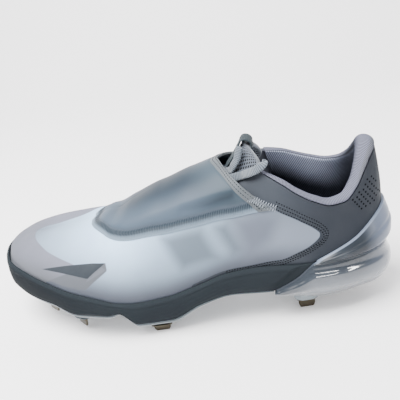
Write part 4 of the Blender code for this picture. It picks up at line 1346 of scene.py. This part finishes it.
def collar_paint():
    paint = Paint("knit_collar", (150, 152, 166), 0.95, specular_ior_level=0.04)
    run, roll = paint.field("run"), paint.field("roll")
    ribs = paint.wave(run, 1.0)
    slant = paint.wave(paint.math("ADD", run, paint.both(paint.field("drop"), 0.6)), 1.5)
    # Painted shade: the lining darkens deeper into the shoe and towards the heel.
    lining_shade = paint.mix(slant, (24, 27, 38), (46, 51, 64))
    lining = paint.over(paint.mix(slant, (146, 149, 160), (194, 197, 207)), ("drop", -4, -25, lining_shade))
    lining = paint.mix(paint.both(paint.field("heel"), 0.88), lining, lining_shade)
    # Painted shade on the inner face of the roll round the heel.
    shaded = paint.both(paint.ease("front", 1.0, 0.2), paint.ease(roll, 5.9, 7.7))
    light = paint.mix(shaded, paint.mix(ribs, (110, 112, 123), (166, 168, 179)), (80, 84, 97))
    seen = paint.over(
        paint.mix(ribs, (106, 108, 117), (158, 160, 170)),
        ("front", 0.05, 0.5, light),
        (roll, 4.55, 4.85, light),
        (roll, 7.55, 7.7, (70, 73, 82)),
        (roll, 7.8, 7.95, lining),
    )
    heights = paint.math("ADD", paint.both(slant, paint.ease(roll, 7.7, 7.8)), ribs)
    return paint.done(seen, paint.bump(heights, 0.0004, 0.7, paint.grain(2400, 0.0002, 0.5, 2)))


collar = finish_piece(build_collar(), collar_paint(), "grey_knit", "collar")
print("collar:", len(collar.data.polygons), "faces")

# %% [markdown]
# The sole is built in levels, like a pot on a wheel, but following the shoe's outline. Between the solid's
# levels there are many more, so that the ribs and steps of the side wall can be moulded in.

# %% Midsole
PLATE_INSET = 0.003
HEEL_RIM_WALL = 0.0013
CLIP_START = 0.732
MIDSOLE_COLUMNS = 720
MIDSOLE_LEVELS = 48
TOE_LIP = 0.0032


def level(turns, height, out):
    """A row of points at those turns; height is a function of the place along the shoe."""
    flat = outline(turns, np.broadcast_to(out, np.shape(turns)).astype(float))
    along = np.clip((flat[..., 0] - TOE_X) / LAST_LENGTH, 0, 1)
    return np.concatenate([flat, height(along)[..., None]], -1)


def side_relief(turns, share):
    """The moulded ribs and steps of the side wall, in mm, by turn and share of its height."""
    along = along_at(turns)
    flow = share + 0.20 * np.sin((along - 0.20) * 9.0)
    ribs = 0.09 * np.sin(flow * 2 * math.pi * 6) * smooth(0.12, 0.25, share) * smooth(0.90, 0.80, share)
    ribs *= smooth(0.16, 0.26, along) * smooth(0.72, 0.60, along)
    ledge = 0.35 * smooth(0.80, 0.84, share) - 0.30 * smooth(0.90, 0.94, share)
    step = 0.45 * smooth(0.30, 0.27, share + 0.9 * np.abs(along - 0.30)) * smooth(0.02, 0.10, share)
    return ribs + ledge + step


def build_midsole():
    turn = np.linspace(0, 2 * math.pi, MIDSOLE_COLUMNS, endpoint=False)
    along = along_at(turn)
    shares = (1.0, 0.93, 0.62, 0.30, 0.08)
    outs = (RIM_WALL * 0.7, RIM_WALL, RIM_WALL + SIDEWALL_BELLY)
    outs += (RIM_WALL + SIDEWALL_BELLY * 0.6, RIM_WALL - SIDEWALL_BELLY)
    bumper = smooth(0.17, 0.02, along)

    def up(share):
        """The height of a level as a function of the place along: a share of the wall, and the toe's lip."""
        lip = TOE_LIP * smooth(0.55, 1.0, share)
        return lambda a: (
            under_height(a) + (bite_height(a) - under_height(a)) * share + lip * smooth(0.17, 0.02, a)
        )

    rings = [level(turn, lambda a: bite_height(a) - CUP_DEPTH, GAP), level(turn, up(1.0), GAP)]
    share_rows = [1.0, 1.0]
    for share in np.linspace(1.0, shares[-1], MIDSOLE_LEVELS):
        out = hermite(-np.array(shares), outs, -share)
        front = CLIP_START + 0.092 * share
        behind = smooth(front - 0.040, front - 0.016, along)
        out = out + (np.minimum(out, HEEL_RIM_WALL) - out) * behind
        out = out + side_relief(turn, share) * MM * (1 - behind) + 0.0002 * bumper * smooth(0.5, 0.9, share)
        rings.append(level(turn, up(share), out))
        share_rows.append(share)
    for share, out in ((0.03, RIM_WALL * 0.15), (0.0, -PLATE_INSET * 0.3)):
        rings.append(level(turn, up(share), out))
        share_rows.append(share)
    fields = {"share": spread(share_rows, MIDSOLE_COLUMNS), "along": spread(along, len(rings)).T}
    return stacked("midsole_foam", rings, fields=fields)


def foam_paint():
    paint = Paint("midsole_slate", (66, 72, 79), 0.7, specular_ior_level=0.03)
    seen = paint.over(
        paint.clouds(30, (44, 50, 56), (54, 61, 67)),
        ("along", 0.32, 0.10, (40, 45, 51)),
        ("share", 0.80, 0.98, (54, 61, 67)),
    )
    return paint.done(seen, paint.grain(1800, 0.00025, 0.3))


midsole = finish_piece(build_midsole(), foam_paint(), "slate_foam", "midsole")
print("midsole:", len(midsole.data.polygons), "faces")

# %% [markdown]
# Under the foam lies a clear plate at the front and a clear bag under the heel. Both are open rings of
# levels, closed straight across at their cut end. Clear parts need a thickness, light passing through and
# a smooth skin, so they are solid, with a low roughness.

# %% Plate and heel bag
PLATE_WALL = 0.0044
PLATE_END = 0.726
NOTCH = 0.348
BAG_START = 0.728
BAG_HEIGHT = 0.0195
PLATE_COLUMNS = 520
BAG_COLUMNS = 460
BAG_LEVELS = 52
LEDGE_DEPTH = 0.0005


def plate_depth(along):
    notch = 1 - 0.55 * bell(along - NOTCH, 0.022)
    return PLATE_WALL * notch * (1 - 0.45 * smooth(0.48, 0.60, along))


def plate_top(along):
    return under_height(along) - GAP


def build_plate():
    last = float(turn_of(PLATE_END))
    turns = np.linspace(-last, last, PLATE_COLUMNS)
    rows = []
    for share, out in zip(*resample([(0, -0.75), (0.30, -0.35), (0.75, -0.9), (1.0, -2.0)], 22).T):
        share = min(max(share, 0.0), 1.0)
        groove = 0.12 * math.sin(share * 2 * math.pi * 4)
        inset = PLATE_INSET * (out + 0.35 * groove)
        rows.append(level(turns, lambda a: plate_top(a) - plate_depth(a) * share, inset))
    return stacked("clear_plate", rows, closed=False)


def bag_bottom(along):
    thin = smooth(BAG_START - 0.03, BAG_START + 0.13, along)
    return plate_top(along) - BAG_HEIGHT * (0.10 + 0.90 * thin)


BELLY = np.array(
    [(0, 0.3), (0.05, 0.9), (0.20, 2.3), (0.34, 4.0), (0.48, 4.5)]
    + [(0.66, 3.2), (0.82, 0.6), (0.93, -2.4), (1.0, -6.2)]
)
BELLY_TOP = 0.0458
CLIP_TOPS = np.array(
    [(0.730, 0.58), (0.785, 0.78), (0.824, 0.99), (0.874, 1.14), (0.928, 1.30), (0.974, 1.53), (1.0, 1.66)]
)
CLIP_WALL = 0.0022
CLIP_LIP = 0.0015


def clip_top(along):
    low = under_height(along) + GAP
    return np.maximum(low + CLIP_WALL, (SOLE_LIFT + SOLE_HEIGHT) * hermite(*CLIP_TOPS.T, along))


def belly_out(along, height):
    """How far the heel's rounded belly stands out at a height. Its top is the groove under the clip."""
    top = np.minimum(clip_top(along), BELLY_TOP)
    share = np.clip((top - height) / (top - bag_bottom(along)), 0, 1)
    full = smooth(BAG_START - 0.02, BAG_START + 0.11, along)
    out = hermite(*BELLY.T, share) * MM
    out = np.where(out > 0, out * (0.45 + 0.55 * full), out)
    crease = LEDGE_DEPTH * bell(share - 0.72 - 0.5 * (along - 0.88), 0.06) * full
    return HEEL_RIM_WALL + GAP + out - crease


def build_bag():
    turns = turns_behind(BAG_START, BAG_COLUMNS)
    along = along_at(turns)
    start, rows = plate_top(along) + 2 * GAP, []
    for share in np.linspace(0, 1, BAG_LEVELS) ** 0.9:
        height = start + (bag_bottom(along) - start) * share
        rows.append(np.column_stack([outline(turns, belly_out(along, height)), height]))
    drop = (np.minimum(clip_top(along), BELLY_TOP)[None] - np.array(rows)[..., 2]) / MM
    fields = {"drop": drop, "along": spread(along, BAG_LEVELS).T}
    return stacked("clear_bag", rows, closed=False, fields=fields)


def belly_tones(paint):
    """Dark behind the shoulder, pale towards the floor, with milky clouds."""
    return paint.over(
        paint.clouds(30, (58, 67, 78), (92, 101, 113)),
        ("drop", 5, 18, paint.clouds(45, (112, 120, 130), (150, 156, 164))),
        ("drop", 22, 28, (98, 106, 115)),
        ("along", 0.92, 1.02, (142, 150, 163)),
    )


def bag_paint():
    gloss = {"transmission_weight": 0.12, "ior": 1.42, "coat_weight": 1.0, "coat_roughness": 0.03}
    paint = Paint("bag_plastic", (196, 203, 208), 0.12, **gloss)
    return paint.done(belly_tones(paint), paint.grain(55, 0.0008, 0.1, 2))


def plate_paint():
    colour = (176, 182, 186)
    gloss = {"transmission_weight": 0.25, "ior": 1.38, "coat_weight": 0.5, "coat_roughness": 0.05}
    paint = Paint("plate_plastic", colour, 0.3, **gloss)
    return paint.done(colour, paint.grain(70, 0.0006, 0.25, 2))


PLATE_PAINT = plate_paint()
plate = finish_piece(build_plate(), PLATE_PAINT, "clear_plastic", "outsole_plate")
bag = finish_piece(build_bag(), bag_paint(), "clear_plastic", "heel_bag")
print("plate and bag:", len(plate.data.polygons) + len(bag.data.polygons), "faces")

# %% [markdown]
# The heel clip is a translucent shell that climbs from the bag up the heel. Its top edge is a thin pale
# line, and soft ledges run along it.

# %% Heel clip
CLIP_COLUMNS = 420
CLIP_LEVELS = 60
SHELL = np.array([(0, 0.0), (0.08, 0.45), (0.25, 0.95), (0.45, 1.0), (0.70, 0.72), (0.93, 0.42), (1.0, 0.30)])


def build_clip():
    turn = turns_behind(CLIP_START, CLIP_COLUMNS)
    along = along_at(turn)
    low = under_height(along) + GAP
    bite = bite_height(along)
    top = clip_top(along)
    groove = np.minimum(top, BELLY_TOP)
    back = smooth(0.80, 0.97, along)
    rim = HEEL_RIM_WALL + GAP
    bulge = rim + CLIP_WALL * (0.75 - 0.1 * back) + (HEEL_PROUD - CLIP_WALL) * back * 0.95

    def point(height, out):
        out = np.broadcast_to(out, turn.shape).astype(float)
        low_point = np.concatenate([outline(turn, out), height[:, None]], -1)
        high_point = skin(turn, height_climb(turn, np.maximum(height - bite, 0)), out)
        return np.where((height <= bite)[:, None], low_point, high_point)

    seat = np.minimum(top, bite)
    over = np.maximum(seat, np.minimum(top, bite + CLIP_LIP))
    inside = np.where(top > bite + CLIP_LIP, GAP, rim)
    span = top - low
    profile = [point(low, rim), point(low + (seat - low) * 0.5, rim)]
    profile.append(np.where((top > bite)[:, None], point(seat, rim), point(low + (top - low) * 0.97, rim)))
    profile.append(point(np.maximum(over, low + span * 0.98), inside))
    profile.append(point(np.maximum(over + (top - over) * 0.5, low + span * 0.99), inside))
    profile.append(point(top, inside))
    for share in np.linspace(1.0, 0.0, CLIP_LEVELS) ** 0.85:
        height = low + span * share
        above = np.clip((height - groove) / np.maximum(top - groove, 0.0004), 0, 1)
        lean = hermite(*SHELL.T, above)
        base = rim + (inside - rim) * smooth(0.5, 1.0, above) + 0.0003
        ledge = LEDGE_DEPTH * bell(above - 0.62 + 0.25 * (along - 0.9), 0.05) * smooth(0.84, 0.90, along)
        shell_out = base + (bulge - rim) * lean - ledge
        profile.append(point(height, np.where(height > groove + 1e-6, shell_out, belly_out(along, height))))
    rows = np.array(profile).transpose(1, 0, 2)
    fields = {
        "along": spread(along, len(profile)),
        "down": (top[:, None] - rows[..., 2]) / MM,
        "drop": (groove[:, None] - rows[..., 2]) / MM,
    }
    return ribbon("heel_shell", rows, fields)


def clip_paint():
    gloss = {"transmission_weight": 0.12, "ior": 1.42, "coat_roughness": 0.03}
    paint = Paint("clip_plastic", (104, 112, 122), 0.3, **gloss)
    glossy = paint.ease("drop", 0.5, 2.5)
    paint.put(paint.shader, "Roughness", paint.math("SUBTRACT", 0.32, paint.both(glossy, 0.2)))
    paint.put(paint.shader, "Coat Weight", glossy)
    milky = paint.both(paint.ease(paint.noise(22), 0.42, 0.72), paint.ease("along", 0.86, 0.93))
    smoky = paint.mix(paint.both(milky, 0.6), paint.clouds(26, (44, 52, 62), (70, 79, 90)), (150, 158, 170))
    seen = paint.over(
        smoky,
        ("along", 0.935, 0.995, (152, 160, 174)),
        ("drop", -0.2, 0.2, belly_tones(paint)),
    )
    # Painted shade in the groove between the shell and the belly.
    groove = paint.both(paint.ease("drop", -1.2, -0.2), paint.ease("drop", 0.9, 0.1))
    seen = paint.mix(paint.both(groove, 0.6), seen, (86, 94, 106))
    lip = paint.both(paint.ease("down", 1.0, 0.5), paint.ease("along", 0.815, 0.84))
    return paint.done(paint.mix(lip, seen, (164, 173, 184)), paint.grain(60, 0.0006, 0.1, 2))


clip = finish_piece(build_clip(), clip_paint(), "smoke_plastic", "heel_clip")
print("heel shell:", len(clip.data.polygons), "faces")

# %% [markdown]
# The insole shows through the collar's opening. The metal blades and their bosses keep the solid's own
# shape, so they only need better materials on their slots.

# %% Insole and kept parts
INSOLE_WALL = 0.004
INSOLE_CLEARANCE = 0.0009


def build_insole():
    turn = np.linspace(0, 2 * math.pi, 300, endpoint=False)
    edge = -(TUCK + UPPER_WALL + INSOLE_CLEARANCE)
    rows = []
    for share, out in ((0, 0), (0.35, 0), (0.7, 0), (0.9, -0.08), (1.0, -0.25)):
        rise = INSOLE_WALL * share - CUP_DEPTH + GAP
        rows.append(level(turn, lambda a: bite_height(a) + rise, edge + out * INSOLE_WALL))
    return stacked("insole_board", rows)


def cloth_paint():
    colour = (34, 38, 50)
    paint = Paint("insole_cloth", colour, 0.9)
    return paint.done(colour, paint.grain(2200, 0.0003, 0.5, 2))


finish_piece(build_insole(), cloth_paint(), "grey_knit", "insole")


def steel_paint():
    paint = Paint("spike_steel", (112, 104, 88), 0.42, metallic=0.75)
    return paint.done(paint.clouds(160, (92, 86, 72), (128, 120, 101), 4), paint.grain(500, 0.0003, 0.3, 4))


STEEL = steel_paint()
for name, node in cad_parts.items():
    if name.startswith(("spike_", "boss_")):
        for spot in node.material_slots:
            spot.material = STEEL if name.startswith("spike_") else PLATE_PAINT
print("kept nodes:", sum(name.startswith(("spike_", "boss_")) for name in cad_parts))

# %% [markdown]
# A pale sweep stands for the studio: a floor that curves up behind the shoe. One large soft light hangs
# over the toe side, weaker ones fill from the left and from behind, and a pale world keeps shadows open.
# Three narrow lights are there for their reflections: they draw bright streaks on the glossy heel.

# %% Floor and light
FLOOR_END = 0.55
WALL_AT = 0.90
BEND = 0.35
BEND_STEPS = 12
HEEL_SPOT = (0.11, -0.03, 0.035)
LIGHTS = {
    "key": ((-0.35, -0.25, 1.05), (0, 0, 0.03), (0.9, 0.7), 56.0, 0.0),
    "fill": ((-0.9, -1.0, 0.5), (0, 0, 0.06), (0.9, 0.6), 5.0, 0.0),
    "rim": ((0.9, 0.6, 0.7), (0, 0, 0.06), (0.5, 0.5), 3.0, 0.0),
    "streak": ((0.50, -1.10, 0.24), HEEL_SPOT, (0.40, 0.022), 2.5, 0.22),
    "second_streak": ((1.02, -0.78, 0.30), HEEL_SPOT, (0.42, 0.05), 5.0, 0.25),
    "strip": ((0.30, -0.30, 0.95), (0.12, 0, 0.03), (0.5, 0.05), 3.0, 0.0),
}


def build_sweep():
    profile = [(-1.2, 0.0), (FLOOR_END, 0.0)]
    for step in range(1, BEND_STEPS + 1):
        angle = math.pi / 2 * step / BEND_STEPS
        profile.append((FLOOR_END + BEND * math.sin(angle), BEND * (1 - math.cos(angle))))
    profile.append((WALL_AT, 1.6))
    rows = np.array([[(x, y, z) for y, z in profile] for x in (-1.6, 1.6)])
    piece = make_piece("studio_sweep", rows, quads(2, len(profile)), flip_out=False)
    if piece.data.polygons[0].normal.z < 0:
        piece.data.flip_normals()
    glow = {"emission_color": (1.0, 0.99, 0.99, 1.0), "emission_strength": 0.2}
    piece.data.materials.append(Paint("studio_paper", (0.878, 0.868, 0.868, 1.0), 0.9, **glow).material)


def area_light(name, place, target, size, power, roll):
    """A soft light that faces a target, rolled about its own beam."""
    data = bpy.data.lights.new(name, "AREA")
    data.shape = "RECTANGLE"
    data.size, data.size_y = size
    data.energy = power
    lamp = add_object(name, data)
    lamp.location = place
    facing = (Vector(target) - Vector(place)).to_track_quat("-Z", "Y") @ Quaternion((0, 0, 1), roll)
    lamp.rotation_euler = facing.to_euler()


build_sweep()
for name, settings in LIGHTS.items():
    area_light(name, *settings)
world = bpy.data.worlds.new("studio_air")
world.use_nodes = True
air = world.node_tree.nodes["Background"].inputs
air["Color"].default_value = (0.92, 0.94, 1.0, 1.0)
air["Strength"].default_value = 0.65
bpy.context.scene.world = world
print("lights placed:", list(LIGHTS))
